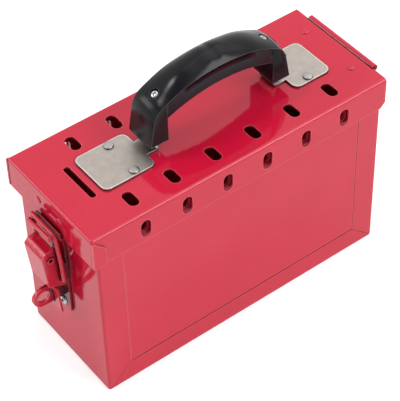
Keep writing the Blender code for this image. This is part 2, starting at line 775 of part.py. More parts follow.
def make_grip():
    """A hollow moulded arch with a crowned top, stepped sides and two solid-sided feet."""
    last = len(CREASE_SHARES) - 1
    stations = [i / GRIP_SPAN_STEPS for i in range(last * GRIP_SPAN_STEPS + 1)]
    grip = mirrored_loft("handle_grip", [grip_section(at) for at in stations], helper=False)
    for side in (-1, 1):
        join(grip, make_foot_block(side))
    cut(grip, mirrored_loft("grip_cavity", [cavity_section(at) for at in stations], helper=True))
    roof_wall = crown_rise(SCREW_STATION) + GRIP_WALL
    for side in (-1, 1):
        place, out = screw_frame(side)
        recess_radius = SCREW_HEAD_RADIUS + 2 * GAP
        middle = place + out * (OVERRUN - SCREW_RECESS_DEPTH) / 2
        drill(grip, "recess_drill", [middle], out, recess_radius, OVERRUN + SCREW_RECESS_DEPTH)
        drill(grip, "screw_drill", [place - out * roof_wall / 2], out,
              SCREW_SHANK_RADIUS + GAP, roof_wall + OVERRUN)
    return paint(grip, BLACK_PLASTIC)


def make_foot_block(side):
    """The flush side walls of one foot, below the crease."""
    last = len(CREASE_SHARES) - 1
    outline = []
    count = (last - FOOT_STATION) * GRIP_SPAN_STEPS
    for i in range(count + 1):
        crease, out = crease_frame(FOOT_STATION + i / GRIP_SPAN_STEPS)
        outline.append(crease - out * GRIP_BLOCK_INSET)
    outline[-1].y = 0
    inner_x = grip_place(Vector(RIM_SHARES[FOOT_STATION])).x
    outline[0].x = inner_x
    outline.append(Vector((inner_x, 0)))
    placed = [(GRIP_CENTRE_X + side * p.x, GRIP_FOOT_Z + p.y) for p in outline]
    width = 2 * (GRIP_HALF_WIDTH - GRIP_BLOCK_INSET)
    return prism("foot_joiner", [placed], width, "XZ", 0, helper=True)


def make_handle_screw(name, side):
    """A round-headed screw with a cross recess, down in the grip's crown."""
    place, out = screw_frame(side)
    shank_length = (
        crown_rise(SCREW_STATION) + GRIP_WALL - SCREW_RECESS_DEPTH
        + GAP + TONGUE_CLEARANCE + BRACKET_SHEET + SCREW_TIP
    )
    head = dome_profile(SCREW_HEAD_RADIUS, SCREW_HEAD_HEIGHT / 2)
    lifted = [(radius, height + SCREW_HEAD_HEIGHT / 2) for radius, height in head]
    profile = [
        *lifted,
        (SCREW_HEAD_RADIUS, 0),
        (SCREW_SHANK_RADIUS, 0),
        (SCREW_SHANK_RADIUS, -shank_length),
        (SCREW_SHANK_RADIUS / 2, -shank_length - SCREW_SHANK_RADIUS),
        (0, -shank_length - SCREW_SHANK_RADIUS),
    ]
    seat = place - out * (SCREW_RECESS_DEPTH - GAP)
    screw = turned(name, profile, seat, out)
    arm = SCREW_HEAD_RADIUS * SCREW_CROSS_SHARE
    half = SCREW_CROSS_WIDTH / 2
    cross = [
        (half, arm), (-half, arm), (-half, half), (-arm, half), (-arm, -half), (-half, -half),
        (-half, -arm), (half, -arm), (half, -half), (arm, -half), (arm, half), (half, half),
    ]
    top = seat + out * SCREW_HEAD_HEIGHT
    cutter = prism("cross_cutter", [cross], 2 * SCREW_CROSS_DEPTH, "XY", 0, helper=True)
    facing = out.to_track_quat("Z", "Y").to_matrix().to_4x4()
    cutter.matrix_world = Matrix.Translation(top) @ facing @ Matrix.Rotation(SCREW_TURN, 4, "Z")
    cut(screw, cutter)
    return paint(screw, BRIGHT_ZINC)


def make_bracket(name, side, span):
    """A plate on the lid whose tongue bends up into a foot of the grip and under its roof."""
    inner, outer = (span[1], span[0]) if side < 0 else (span[0], span[1])
    inner_x, outer_x = side * (inner - GRIP_CENTRE_X), side * (outer - GRIP_CENTRE_X)
    half, neck = BRACKET_WIDTH / 2, TONGUE_WIDTH / 2
    rise_x = GRIP_HALF_LENGTH - TONGUE_RISE_SETBACK
    crease, out = crease_frame(SCREW_STATION)
    under_roof = crease - out * (GRIP_WALL + TONGUE_CLEARANCE + BRACKET_SHEET / 2)
    down_roof = Vector((out.y, -out.x))
    reach = (rise_x - under_roof.x) / down_roof.x
    elbow = under_roof + down_roof * reach
    tip = under_roof - down_roof * TONGUE_END
    base_z = BRACKET_MID_Z - GRIP_FOOT_Z
    path = fillet([(inner_x, base_z), (rise_x, base_z), elbow, tip], TONGUE_BEND, steps=3)
    plate = fillet(
        [(inner_x, neck), (inner_x, half), (outer_x, half),
         (outer_x, -half), (inner_x, -half), (inner_x, -neck)],
        [0, BRACKET_CORNER, BRACKET_CORNER, BRACKET_CORNER, BRACKET_CORNER, 0],
        steps=3,
    )
    sheet = bmesh.new()
    edge = [sheet.verts.new((side * p.x, p.y, base_z)) for p in plate]
    sheet.faces.new(edge)
    row = (edge[0], edge[-1])
    for place in path[1:]:
        next_row = [sheet.verts.new((side * place.x, y, place.y)) for y in (neck, -neck)]
        sheet.faces.new((row[0], row[1], next_row[1], next_row[0]))
        row = next_row
    bmesh.ops.recalc_face_normals(sheet, faces=sheet.faces)
    mesh = bpy.data.meshes.new(name)
    sheet.to_mesh(mesh)
    sheet.free()
    bracket = add_object(name, mesh)
    bracket.location = (GRIP_CENTRE_X, 0, GRIP_FOOT_Z)
    add_sheet(bracket, BRACKET_SHEET, 0)
    rivets = [place for place in BRACKET_RIVETS if side * place[0] > 0]
    drill(bracket, "plate_drill", rivets, (0, 0, 1), rivet_hole(DOME_RIVET), 2 * OVERRUN)
    place, out = screw_frame(side)
    deep = crown_rise(SCREW_STATION) + GRIP_WALL + TONGUE_CLEARANCE + BRACKET_SHEET / 2
    drill(bracket, "tongue_drill", [place - out * deep], out, SCREW_SHANK_RADIUS + GAP, OVERRUN)
    return paint(bracket, BARE_STEEL)


def knuckle_spans():
    """The hinge's knuckles from front to back, each as its ends in Y."""
    pitch = HINGE_LENGTH / HINGE_KNUCKLES
    starts = [-HINGE_LENGTH / 2 + pitch * i for i in range(HINGE_KNUCKLES)]
    return [(start + GAP / 2, start + pitch - GAP / 2) for start in starts]


def make_leaf(name, own, plane, offset, tip, back_edge, far_edge, rivets, direction):
    """A hinge leaf: a plate whose fingers reach its own knuckles at the tip and stop clear of
    the other leaf's knuckles at the back edge."""
    outline = [(-HINGE_LENGTH / 2, far_edge)]
    for i, (low, high) in enumerate(knuckle_spans()):
        edge = tip if i in own else back_edge
        inset = 0 if i in own else -KNUCKLE_GAP
        outline += [(low + inset, edge), (high - inset, edge)]
    outline.append((HINGE_LENGTH / 2, far_edge))
    clipped = [(min(max(y, -HINGE_LENGTH / 2), HINGE_LENGTH / 2), edge) for y, edge in outline]
    if plane == "XY":
        clipped = [(edge, y) for y, edge in clipped]
    leaf = prism(name, [clipped], HINGE_SHEET, plane, offset)
    middle = [(HINGE_X, sum(knuckle_spans()[i]) / 2, HINGE_Z) for i in own]
    length = knuckle_spans()[0][1] - knuckle_spans()[0][0]
    rods = [(place, (0, 1, 0), BARREL_RADIUS, length) for place in middle]
    join(leaf, add_object(name + "_knuckles", rod_mesh(name, rods), helper=True))
    bore_length = HINGE_LENGTH + OVERRUN
    drill(leaf, name + "_bore", [(HINGE_X, 0, HINGE_Z)], (0, 1, 0), PIN_RADIUS + GAP, bore_length)
    drill(leaf, name + "_drill", rivets, direction, rivet_hole(FLAT_RIVET), 2 * OVERRUN)
    return paint(leaf, RED_PAINT)


def make_hinge_pin():
    half = HINGE_LENGTH / 2 + GAP
    head = dome_profile(PIN_HEAD_RADIUS, PIN_HEAD_HEIGHT)
    profile = [(radius, half + height) for radius, height in head]
    profile += [(PIN_RADIUS, half), (PIN_RADIUS, -half)]
    profile += [(radius, -half - height) for radius, height in reversed(head)]
    return paint(turned("hinge_pin", profile, (HINGE_X, 0, HINGE_Z), (0, 1, 0)), BARE_STEEL)


def latch_place(out, up):
    """A point in the latch's side view, from its distance out of the end wall and its height
    above the latch's foot."""
    return (WALL_X - out, LATCH_FOOT_Z + up)


def make_latch_base():
    """A plate on the end wall with two ears that carry the lever's pin."""
    low, high = (-BASE_HALF_WIDTH, LATCH_FOOT_Z), (BASE_HALF_WIDTH, LATCH_FOOT_Z + BASE_HEIGHT)
    outlines = [rectangle(low, high, BASE_CORNER)]
    outlines += [circle_outline((place[1], place[2]), rivet_hole(BLIND_RIVET)) for place in BASE_RIVETS]
    tang = EYE_TANG_HALF_HEIGHT + GAP
    tang_half_width = EYE_SHEET / 2 + GAP
    tang_z = LATCH_FOOT_Z + EYE_RING_UP
    outlines.append(rectangle((-tang_half_width, tang_z - tang), (tang_half_width, tang_z + tang)))
    middle = WALL_X - GAP - LATCH_SHEET / 2
    base = prism("latch_base", outlines, LATCH_SHEET, "YZ", middle)
    root_x = middle
    slope = Vector((math.cos(EAR_SLOPE), -math.sin(EAR_SLOPE)))
    pin = Vector((LEVER_PIN_X, LEVER_PIN_Z))
    normal = Vector((slope.y, -slope.x))
    upper, lower = pin - normal * EAR_RADIUS, pin + normal * EAR_RADIUS
    upper_root = upper + slope * (root_x - upper.x) / slope.x
    lower_root = lower + slope * (root_x - lower.x) / slope.x
    start = math.atan2((upper - pin).y, (upper - pin).x)
    arc = [start + math.pi * step / EAR_STEPS for step in range(EAR_STEPS + 1)]
    nose = [(pin.x + EAR_RADIUS * math.cos(a), pin.y + EAR_RADIUS * math.sin(a)) for a in arc]
    ear = [tuple(upper_root), *nose, tuple(lower_root)]
    hole = circle_outline(pin, LEVER_PIN_RADIUS + GAP)
    for side in (-1, 1):
        offset = -side * (BASE_HALF_WIDTH - LATCH_SHEET / 2)
        join(base, prism("ear_joiner", [ear, hole], LATCH_SHEET, "XZ", offset, helper=True))
    return paint(base, RED_PAINT)


def make_latch_lever():
    """A pressed channel over the ears, with a curved head and a slotted tail."""
    corners = [
        latch_place(LEVER_HIP_OUT, LEVER_HEEL_UP),
        latch_place(LEVER_HIP_OUT, LEVER_HIP_UP),
        latch_place(LEVER_THROAT_OUT, LEVER_THROAT_UP),
        latch_place(LEVER_ROOF_OUT, LEVER_ROOF_UP),
        latch_place(LEVER_CROWN_OUT, LEVER_CROWN_UP),
        latch_place(LEVER_TOP_OUT, LEVER_TOP_UP),
        latch_place(LEVER_TOE_OUT, LEVER_TOE_UP),
    ]
    bends = [LEVER_FOLD / 2, LEVER_HIP_BEND, LEVER_FOLD / 2, 0, LEVER_FOLD, LEVER_FOLD, 0]
    lever = prism("latch_lever", [fillet(corners, bends, closed=True)], 2 * CHEEK_OUTER, "XZ", 0)
    roof_inner = LEVER_ROOF_UP - LEVER_SHEET
    web = LEVER_SHEET
    hollow = [
        latch_place(-OVERRUN, LEVER_HEEL_UP - OVERRUN),
        latch_place(-OVERRUN, roof_inner),
        latch_place(LEVER_ROOF_OUT, roof_inner),
        latch_place(LEVER_CROWN_OUT - web / 2, LEVER_CROWN_UP - web),
        latch_place(LEVER_TOP_OUT - web, LEVER_TOP_UP - web / 2),
        latch_place(LEVER_TOE_OUT - web, LEVER_TOE_UP),
        latch_place(LEVER_TOE_OUT - web, LEVER_HEEL_UP - OVERRUN),
    ]
    inside = 2 * (CHEEK_OUTER - LEVER_SHEET)
    cut(lever, prism("lever_hollow", [hollow], inside, "XZ", 0, helper=True))
    toe = LEVER_TOE_OUT - web / 2
    tail_path = fillet([
        latch_place(toe + TAIL_ROOT_SLANT, LEVER_TOE_UP + TAIL_ROOT_LAP),
        latch_place(toe, LEVER_TOE_UP),
        latch_place(TAIL_JOG_OUT, TAIL_JOG_UP),
        latch_place(TAIL_END_OUT, TAIL_END_UP),
    ], TAIL_BEND)
    join(lever, bent_strip("tail_joiner", tail_path, TAIL_HALF_WIDTH, TAIL_SHEET, helper=True))
    slot_height = TAIL_SLOT_HIGH_UP - TAIL_SLOT_LOW_UP
    slot_centre = (0, LATCH_FOOT_Z + TAIL_SLOT_LOW_UP + slot_height / 2)
    slot = slot_outline(slot_centre, 2 * TAIL_SLOT_HALF_WIDTH, slot_height)
    cut(lever, prism("tail_slot_cutter", [slot], 2 * LEVER_TOE_OUT, "YZ", WALL_X - TAIL_JOG_OUT, helper=True))
    reach = 2 * CHEEK_OUTER + OVERRUN
    pivots = [(LEVER_PIN_X, 0, LEVER_PIN_Z)]
    drill(lever, "lever_pin_drill", pivots, (0, 1, 0), LEVER_PIN_RADIUS + GAP, reach)
    pivots = [(BAIL_PIVOT_X, 0, BAIL_PIVOT_Z)]
    drill(lever, "bail_drill", pivots, (0, 1, 0), WIRE_RADIUS + GAP, reach)
    return paint(lever, RED_PAINT)


def make_lever_pin():
    """A tubular rivet through the cheeks and the ears, with its bore open from side to side."""
    seat = CHEEK_OUTER + GAP
    end = seat + LEVER_PIN_HEAD_HEIGHT
    profile = [
        (LEVER_PIN_BORE, end), (LEVER_PIN_HEAD_RADIUS, end), (LEVER_PIN_HEAD_RADIUS, seat),
        (LEVER_PIN_RADIUS, seat), (LEVER_PIN_RADIUS, -seat), (LEVER_PIN_HEAD_RADIUS, -seat),
        (LEVER_PIN_HEAD_RADIUS, -end), (LEVER_PIN_BORE, -end),
    ]
    place = (LEVER_PIN_X, 0, LEVER_PIN_Z)
    return paint(turned("lever_pin", profile, place, (0, 1, 0), hollow=True), RED_PAINT)


def make_bail():
    """One bent wire: straight through the lever's cheeks, a leg up each side, and the ends
    turned over the top one outside the other."""
    inner = latch_place(BAIL_INNER_OUT, BAIL_INNER_UP)
    belly = latch_place(BAIL_BELLY_OUT, BAIL_BELLY_UP)
    pivot = latch_place(BAIL_PIVOT_OUT, BAIL_PIVOT_UP)
    kink = latch_place(BAIL_KINK_OUT, BAIL_KINK_UP)
    outer = latch_place(BAIL_OUTER_OUT, BAIL_OUTER_UP)
    outer_tip = latch_place(BAIL_OUTER_OUT, BAIL_OUTER_UP + BAIL_OUTER_RISE)
    near, far = -BAIL_HALF_WIDTH, BAIL_HALF_WIDTH
    run = [
        (inner, BAIL_INNER_END - WIRE_RADIUS, 0),
        (inner, near, BAIL_CORNER),
        (belly, near, BAIL_BELLY_BEND),
        (pivot, near, BAIL_CORNER),
        (pivot, far, BAIL_CORNER),
        (belly, far, BAIL_BELLY_BEND),
        (kink, far, BAIL_KINK_BEND),
        (outer, far, BAIL_CORNER),
        (outer_tip, WIRE_RADIUS - BAIL_OUTER_END, 0),
    ]
    points = [(place[0], y, place[1]) for place, y, bend in run]
    path = fillet(points, [bend for place, y, bend in run], steps=4)
    return paint(wire("latch_bail", path, WIRE_RADIUS), RED_PAINT)


def make_keeper():
    """A strip inside the lid's end flange that passes under its edge and turns up to a bead."""
    inner = LID_LATCH_X + SHEET + GAP + KEEPER_SHEET / 2
    outer = WALL_X - BEAD_OUT + BEAD_RADIUS - KEEPER_SHEET
    trough = LID_EDGE_Z - KEEPER_TROUGH_DROP - KEEPER_SHEET / 2
    bead_z = LID_EDGE_Z + BEAD_RISE
    path = fillet([(inner, LID_TOP_Z - KEEPER_TOP_DROP), (inner, trough), (outer, trough), (outer, bead_z)],
                  [0, KEEPER_SHEET, KEEPER_BEND, 0])
    keeper = bent_strip("latch_keeper", path, KEEPER_HALF_WIDTH, KEEPER_SHEET)
    bead = (WALL_X - BEAD_OUT, 0, bead_z)
    rods = [(bead, (0, 1, 0), BEAD_RADIUS, 2 * KEEPER_HALF_WIDTH)]
    join(keeper, add_object("bead_joiner", rod_mesh("bead_joiner", rods), helper=True))
    drill(keeper, "keeper_drill", KEEPER_RIVETS, (1, 0, 0), rivet_hole(FLAT_RIVET), 2 * OVERRUN)
    return paint(keeper, RED_PAINT)


def make_padlock_eye():
    """A flat staple whose ring stands out through the lever's tail, tanged into the base."""
    face = GAP + LATCH_SHEET + GAP
    ring = Vector(latch_place(EYE_RING_OUT, EYE_RING_UP))
    arc = []
    for step in range(EYE_RING_STEPS + 1):
        angle = math.pi / 2 + math.pi * step / EYE_RING_STEPS
        arc.append((ring.x + EYE_REACH * math.cos(angle), ring.y + EYE_RING_RADIUS * math.sin(angle)))
    tang_low, tang_high = EYE_RING_UP - EYE_TANG_HALF_HEIGHT, EYE_RING_UP + EYE_TANG_HALF_HEIGHT
    outline = [
        *arc,
        latch_place(face, EYE_RING_UP - EYE_RING_RADIUS),
        latch_place(face, tang_low),
        latch_place(GAP, tang_low),
        latch_place(GAP, tang_high),
        latch_place(face, tang_high),
        latch_place(face, EYE_RING_UP + EYE_RING_RADIUS),
    ]
    hole = []
    for step in range(ROUND_STEPS):
        angle = math.tau * step / ROUND_STEPS
        hole.append((ring.x + EYE_HOLE_RADIUS * math.cos(angle),
                     ring.y + (EYE_HOLE_RADIUS + EYE_HOLE_STRETCH) * math.sin(angle)))
    return paint(prism("padlock_eye", [outline, hole], EYE_SHEET, "XZ", 0), RED_PAINT)


def axis_empty(name, place, parent=None):
    """An empty on a joint's axis, for the pieces that turn about it."""
    made = bpy.data.objects.new(name, None)
    PARTS.objects.link(made)
    made.location = place
    if parent:
        carry(made, parent)
    return made


def carry(child, parent):
    bpy.context.view_layer.update()
    child.parent = parent
    child.matrix_parent_inverse = parent.matrix_world.inverted()


BRACKET_LEFT_SPAN = [BODY_LENGTH * share for share in BRACKET_LEFT_SHARES]
BRACKET_RIGHT_SPAN = [BODY_LENGTH * share for share in BRACKET_RIGHT_SHARES]
BRACKET_RIVETS = [
    (BODY_LENGTH * share, y, LID_TOP_Z)
    for share in BRACKET_RIVET_SHARES
    for y in (-BRACKET_RIVET_OFFSET, BRACKET_RIVET_OFFSET)
]
LID_LEAF_RIVETS = [(HINGE_X - LEAF_LID_RIVET_IN, y, LID_TOP_Z) for y in (-LEAF_RIVET_Y, LEAF_RIVET_Y)]
BODY_LEAF_RIVETS = [(BODY_END_X, y, HINGE_Z - LEAF_BODY_RIVET_DOWN) for y in (-LEAF_RIVET_Y, LEAF_RIVET_Y)]
KEEPER_RIVET_Z = LID_TOP_Z - KEEPER_RIVET_DROP
KEEPER_RIVETS = [(LID_LATCH_X, y, KEEPER_RIVET_Z) for y in (-KEEPER_RIVET_Y, KEEPER_RIVET_Y)]
BASE_RIVETS = [(WALL_X, 0, LATCH_FOOT_Z + up) for up in BASE_RIVET_UPS]

# The body and what is fixed to it
make_body_shell()
make_panel("front_panel", -1)
make_panel("back_panel", 1)
BODY_KNUCKLES = [i for i in range(HINGE_KNUCKLES) if i % 2 == 0]
LID_KNUCKLES = [i for i in range(HINGE_KNUCKLES) if i % 2]
make_leaf(
    "hinge_body_leaf", BODY_KNUCKLES, "YZ", BODY_END_X + GAP + HINGE_SHEET / 2,
    HINGE_Z - HINGE_SHEET / 2, HINGE_Z - BARREL_RADIUS - KNUCKLE_GAP, HINGE_Z - LEAF_DROP,
    BODY_LEAF_RIVETS, (1, 0, 0),
)
make_hinge_pin()
for number, place in enumerate(BODY_LEAF_RIVETS, 1):
    seat = Vector(place) + Vector((GAP + HINGE_SHEET, 0, 0))
    stack = GAP + HINGE_SHEET + SHEET
    rivet(f"hinge_body_rivet_{number}", FLAT_RIVET, seat, (1, 0, 0), stack, RED_PAINT)
make_latch_base()
make_lever_pin()
make_padlock_eye()
for number, place in enumerate(BASE_RIVETS, 1):
    seat = Vector(place) - Vector((GAP + LATCH_SHEET, 0, 0))
    stack = GAP + LATCH_SHEET + SHEET
    rivet(f"base_rivet_{number}", BLIND_RIVET, seat, (-1, 0, 0), stack, BARE_STEEL, blind=True)

# The lid and what swings with it
on_lid = [
    make_lid(),
    make_grip(),
    make_handle_screw("handle_screw_left", -1),
    make_handle_screw("handle_screw_right", 1),
    make_bracket("handle_bracket_left", -1, BRACKET_LEFT_SPAN),
    make_bracket("handle_bracket_right", 1, BRACKET_RIGHT_SPAN),
    make_keeper(),
    make_leaf(
        "hinge_lid_leaf", LID_KNUCKLES, "XY", BODY_HEIGHT - HINGE_SHEET / 2,
        HINGE_X - GAP, HINGE_X - BARREL_RADIUS - KNUCKLE_GAP, HINGE_X - LEAF_INWARD,
        LID_LEAF_RIVETS, (0, 0, 1),
    ),
]
for number, place in enumerate(BRACKET_RIVETS, 1):
    seat = Vector(place) + Vector((0, 0, GAP + BRACKET_SHEET))
    stack = GAP + BRACKET_SHEET + SHEET
    on_lid.append(rivet(f"bracket_rivet_{number}", DOME_RIVET, seat, (0, 0, 1), stack, BARE_STEEL))
for number, place in enumerate(LID_LEAF_RIVETS, 1):
    stack = SHEET + GAP + HINGE_SHEET
    on_lid.append(rivet(f"hinge_lid_rivet_{number}", FLAT_RIVET, place, (0, 0, 1), stack, RED_PAINT))
for number, place in enumerate(KEEPER_RIVETS, 1):
    stack = SHEET + GAP + KEEPER_SHEET
    on_lid.append(rivet(f"keeper_rivet_{number}", FLAT_RIVET, place, (-1, 0, 0), stack, RED_PAINT))
lid_axis = axis_empty("lid_axis", (HINGE_X, 0, HINGE_Z))
for piece in on_lid:
    carry(piece, lid_axis)

# The latch's moving pieces
lever_axis = axis_empty("lever_axis", (LEVER_PIN_X, 0, LEVER_PIN_Z))
carry(make_latch_lever(), lever_axis)
bail_axis = axis_empty("bail_axis", (BAIL_PIVOT_X, 0, BAIL_PIVOT_Z), lever_axis)
carry(make_bail(), bail_axis)
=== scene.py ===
import json
import math

import bmesh
import bpy
from mathutils import Matrix, Vector


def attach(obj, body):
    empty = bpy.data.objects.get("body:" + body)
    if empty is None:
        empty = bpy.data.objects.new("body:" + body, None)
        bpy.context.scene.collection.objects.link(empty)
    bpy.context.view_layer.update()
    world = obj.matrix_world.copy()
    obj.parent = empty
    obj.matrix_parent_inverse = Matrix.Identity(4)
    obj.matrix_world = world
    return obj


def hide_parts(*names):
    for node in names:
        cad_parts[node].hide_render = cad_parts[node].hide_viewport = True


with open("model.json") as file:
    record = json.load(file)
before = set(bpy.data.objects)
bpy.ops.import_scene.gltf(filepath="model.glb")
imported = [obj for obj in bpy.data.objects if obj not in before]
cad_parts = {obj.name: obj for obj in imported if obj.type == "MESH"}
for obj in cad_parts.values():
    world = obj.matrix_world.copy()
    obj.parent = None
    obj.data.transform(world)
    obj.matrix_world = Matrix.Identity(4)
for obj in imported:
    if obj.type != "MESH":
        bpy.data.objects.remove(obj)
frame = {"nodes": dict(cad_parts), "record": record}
cadNodes = frame["nodes"]
bodyOf = {}
for bodyName, members in frame["record"]["behaviour"]["bodies"].items():
    for member in members:
        bodyOf[member] = bodyName
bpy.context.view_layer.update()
print("lockout box: frame loaded,", len(cadNodes), "nodes")

# the box as it was photographed: from the latch end, looking down at the lid
photoView = {
    "azimuth": -36.034,  # degrees from the front, towards the latch end
    "elevation": 45.742,
    "roll": -1.717,
    "distance": 1.127285,
    "target": (-0.004304, 0, 0.075566),
    "focalLength": 151.16,  # mm on a 36 mm wide sensor
    "sensorWidth": 36,
    "clipStart": 0.05,
    "clipEnd": 50,
}


def placeCamera(view):
    angles = (view["azimuth"], view["elevation"], view["roll"])
    azimuth, elevation, roll = map(math.radians, angles)
    back = Vector((
        math.sin(azimuth) * math.cos(elevation),
        -math.cos(azimuth) * math.cos(elevation),
        math.sin(elevation),
    ))
    right = (-back).cross(Vector((0, 0, 1))).normalized()
    up = right.cross(-back)
    cameraRight = right * math.cos(roll) + up * math.sin(roll)
    cameraUp = up * math.cos(roll) - right * math.sin(roll)
    turn = Matrix((cameraRight, cameraUp, back)).transposed().to_4x4()
    lens = bpy.data.cameras.new("photoCamera")
    lens.sensor_fit = "HORIZONTAL"
    lens.sensor_width = view["sensorWidth"]
    lens.lens = view["focalLength"]
    lens.clip_start = view["clipStart"]
    lens.clip_end = view["clipEnd"]
    eye = bpy.data.objects.new("photoCamera", lens)
    bpy.context.scene.collection.objects.link(eye)
    eye.matrix_world = Matrix.Translation(Vector(view["target"]) + back * view["distance"]) @ turn
    bpy.context.scene.camera = eye


placeCamera(photoView)
print("lockout box: camera placed")


# a node with its settings and what feeds its sockets: another node's output or a plain value
def put(tree, kind, feeds=None, **settings):
    node = tree.nodes.new(kind)
    for key, value in settings.items():
        setattr(node, key, value)
    for key, value in (feeds or {}).items():
        if isinstance(value, bpy.types.NodeSocket):
            tree.links.new(value, node.inputs[key])
        else:
            node.inputs[key].default_value = value
    return node


def calc(tree, operation, first, second=0.0):
    return put(tree, "ShaderNodeMath", {0: first, 1: second}, operation=operation).outputs[0]


def newMaterial(name):
    material = bpy.data.materials.new(name)
    material.use_nodes = True
    tree = material.node_tree
    return material, tree, tree.nodes["Principled BSDF"]


# object coordinates, stretched where a grain runs one way
def objectSpace(tree, scale=(1, 1, 1)):
    coords = put(tree, "ShaderNodeTexCoord")
    stretch = put(tree, "ShaderNodeMapping", {"Vector": coords.outputs["Object"], "Scale": scale})
    return stretch.outputs["Vector"]


def noise(tree, where, scale, detail, roughness=0.5):
    feeds = {"Vector": where, "Scale": scale, "Detail": detail, "Roughness": roughness}
    return put(tree, "ShaderNodeTexNoise", feeds).outputs["Fac"]


def spread(tree, value, low, high, fromLow=0.3, fromHigh=0.7):
    span = {"From Min": fromLow, "From Max": fromHigh, "To Min": low, "To Max": high}
    return put(tree, "ShaderNodeMapRange", {"Value": value, **span}).outputs["Result"]


# a colour ramp from (place, colour) stops
def tones(tree, value, stops):
    ramp = put(tree, "ShaderNodeValToRGB", {"Fac": value})
    elements = ramp.color_ramp.elements
    while len(elements) < len(stops):
        elements.new(0.5)
    for element, (place, colour) in zip(elements, stops):
        element.position = place
        element.color = (*colour, 1)
    return ramp.outputs["Color"]


# one colour shifted towards another by a factor
def blend(tree, factor, colour, other):
    mix = put(tree, "ShaderNodeMix", data_type="RGBA")
    socketOf = {socket.identifier: socket for socket in (*mix.inputs, *mix.outputs)}
    tree.links.new(factor, mix.inputs["Factor"])
    tree.links.new(colour, socketOf["A_Color"])
    socketOf["B_Color"].default_value = (*other, 1)
    return socketOf["Result_Color"]


raySamples = {"edge": 6, "groove": 8}


# the colour lighter at its edges, a painted highlight and partly wear: more of the edge tone where
# the surface turns within the reach
def litAndWornEdges(tree, colour, look):
    feeds = {"Radius": look["edgeReach"]}
    rounded = put(tree, "ShaderNodeBevel", feeds, samples=raySamples["edge"]).outputs["Normal"]
    facing = put(tree, "ShaderNodeNewGeometry").outputs["Normal"]
    agree = put(tree, "ShaderNodeVectorMath", {0: rounded, 1: facing}, operation="DOT_PRODUCT")
    turn = calc(tree, "SUBTRACT", 1.0, agree.outputs["Value"])
    edgeLightAndWear = spread(tree, turn, 0, look["edgeFade"], *look["edgeSpan"])
    return blend(tree, edgeLightAndWear, colour, look["toneEdge"])


# the colour darkened with painted shade where the surface lies in a corner or a groove
def paintedGrooveShade(tree, colour, look):
    feeds = {"Distance": look["shadeReach"]}
    shade = put(tree, "ShaderNodeAmbientOcclusion", feeds, samples=raySamples["groove"])
    depth = spread(tree, shade.outputs["AO"], 1, 0, *look["shadeSpan"])
    paintedShade = calc(tree, "MULTIPLY", depth, look["shadeDepth"])
    return blend(tree, paintedShade, colour, look["toneShade"])


# bumps laid over each other, each given as its height value and its height in metres
def relief(tree, shader, layers):
    normal = None
    for value, height in layers:
        feeds = {"Strength": 1, "Distance": height, "Height": value}
        if normal:
            feeds["Normal"] = normal
        normal = put(tree, "ShaderNodeBump", feeds).outputs["Normal"]
    tree.links.new(normal, shader.inputs["Normal"])


# noises are given as their scale, detail and, where it isn't a half, roughness
redPaint = {
    "cloud": (22, 2),
    "tones": ((0.3, (0.59, 0.007, 0.036)), (0.7, (0.63, 0.009, 0.042))),
    "toneEdge": (0.8, 0.2, 0.22),  # painted highlight along sharp edges, where the powder coat is also drawn thin
    "edgeReach": 0.0012,
    "edgeFade": 0.45,
    "edgeSpan": (0.01, 0.12),
    "toneShade": (0.16, 0.004, 0.01),  # painted shade at the foot of a rivet or in a seam
    "shadeReach": 0.0025,
    "shadeDepth": 0.75,
    "shadeSpan": (0.45, 0.9),  # openness where the painted shade is full, and where it ends
    "haze": (55, 3),
    "roughness": (0.06, 0.1),
    "refraction": 1.5,
    "peel": (330, 1),  # orange peel, about 3 mm from crest to crest
    "peelHeight": 0.00003,
    "wave": (70, 1),
    "waveHeight": 0.00007,
}
# the same paint on the latch, with deeper painted shade where its parts lie close together in each
# other's shade
latchPaint = {
    **redPaint,
    "toneShade": (0.05, 0.002, 0.005),
    "shadeReach": 0.009,
    "shadeDepth": 0.9,
    "shadeSpan": (0.45, 0.85),
}
# and on the hinge, with painted shade on the barrel's side towards the lid
hingePaint = {
    **redPaint,
    "toneShade": (0.1, 0.002, 0.008),
    "shadeReach": 0.012,
    "shadeDepth": 1,
    "shadeSpan": (0.6, 0.97),
}


def powderCoat(name, look):
    material, tree, shader = newMaterial(name)
    where = objectSpace(tree)
    colour = tones(tree, noise(tree, where, *look["cloud"]), look["tones"])
    colour = paintedGrooveShade(tree, litAndWornEdges(tree, colour, look), look)
    tree.links.new(colour, shader.inputs["Base Color"])
    haze = noise(tree, where, *look["haze"])
    tree.links.new(spread(tree, haze, *look["roughness"]), shader.inputs["Roughness"])
    shader.inputs["IOR"].default_value = look["refraction"]
    peel = noise(tree, where, *look["peel"])
    wave = noise(tree, where, *look["wave"])
    relief(tree, shader, [(wave, look["waveHeight"]), (peel, look["peelHeight"])])
    return material


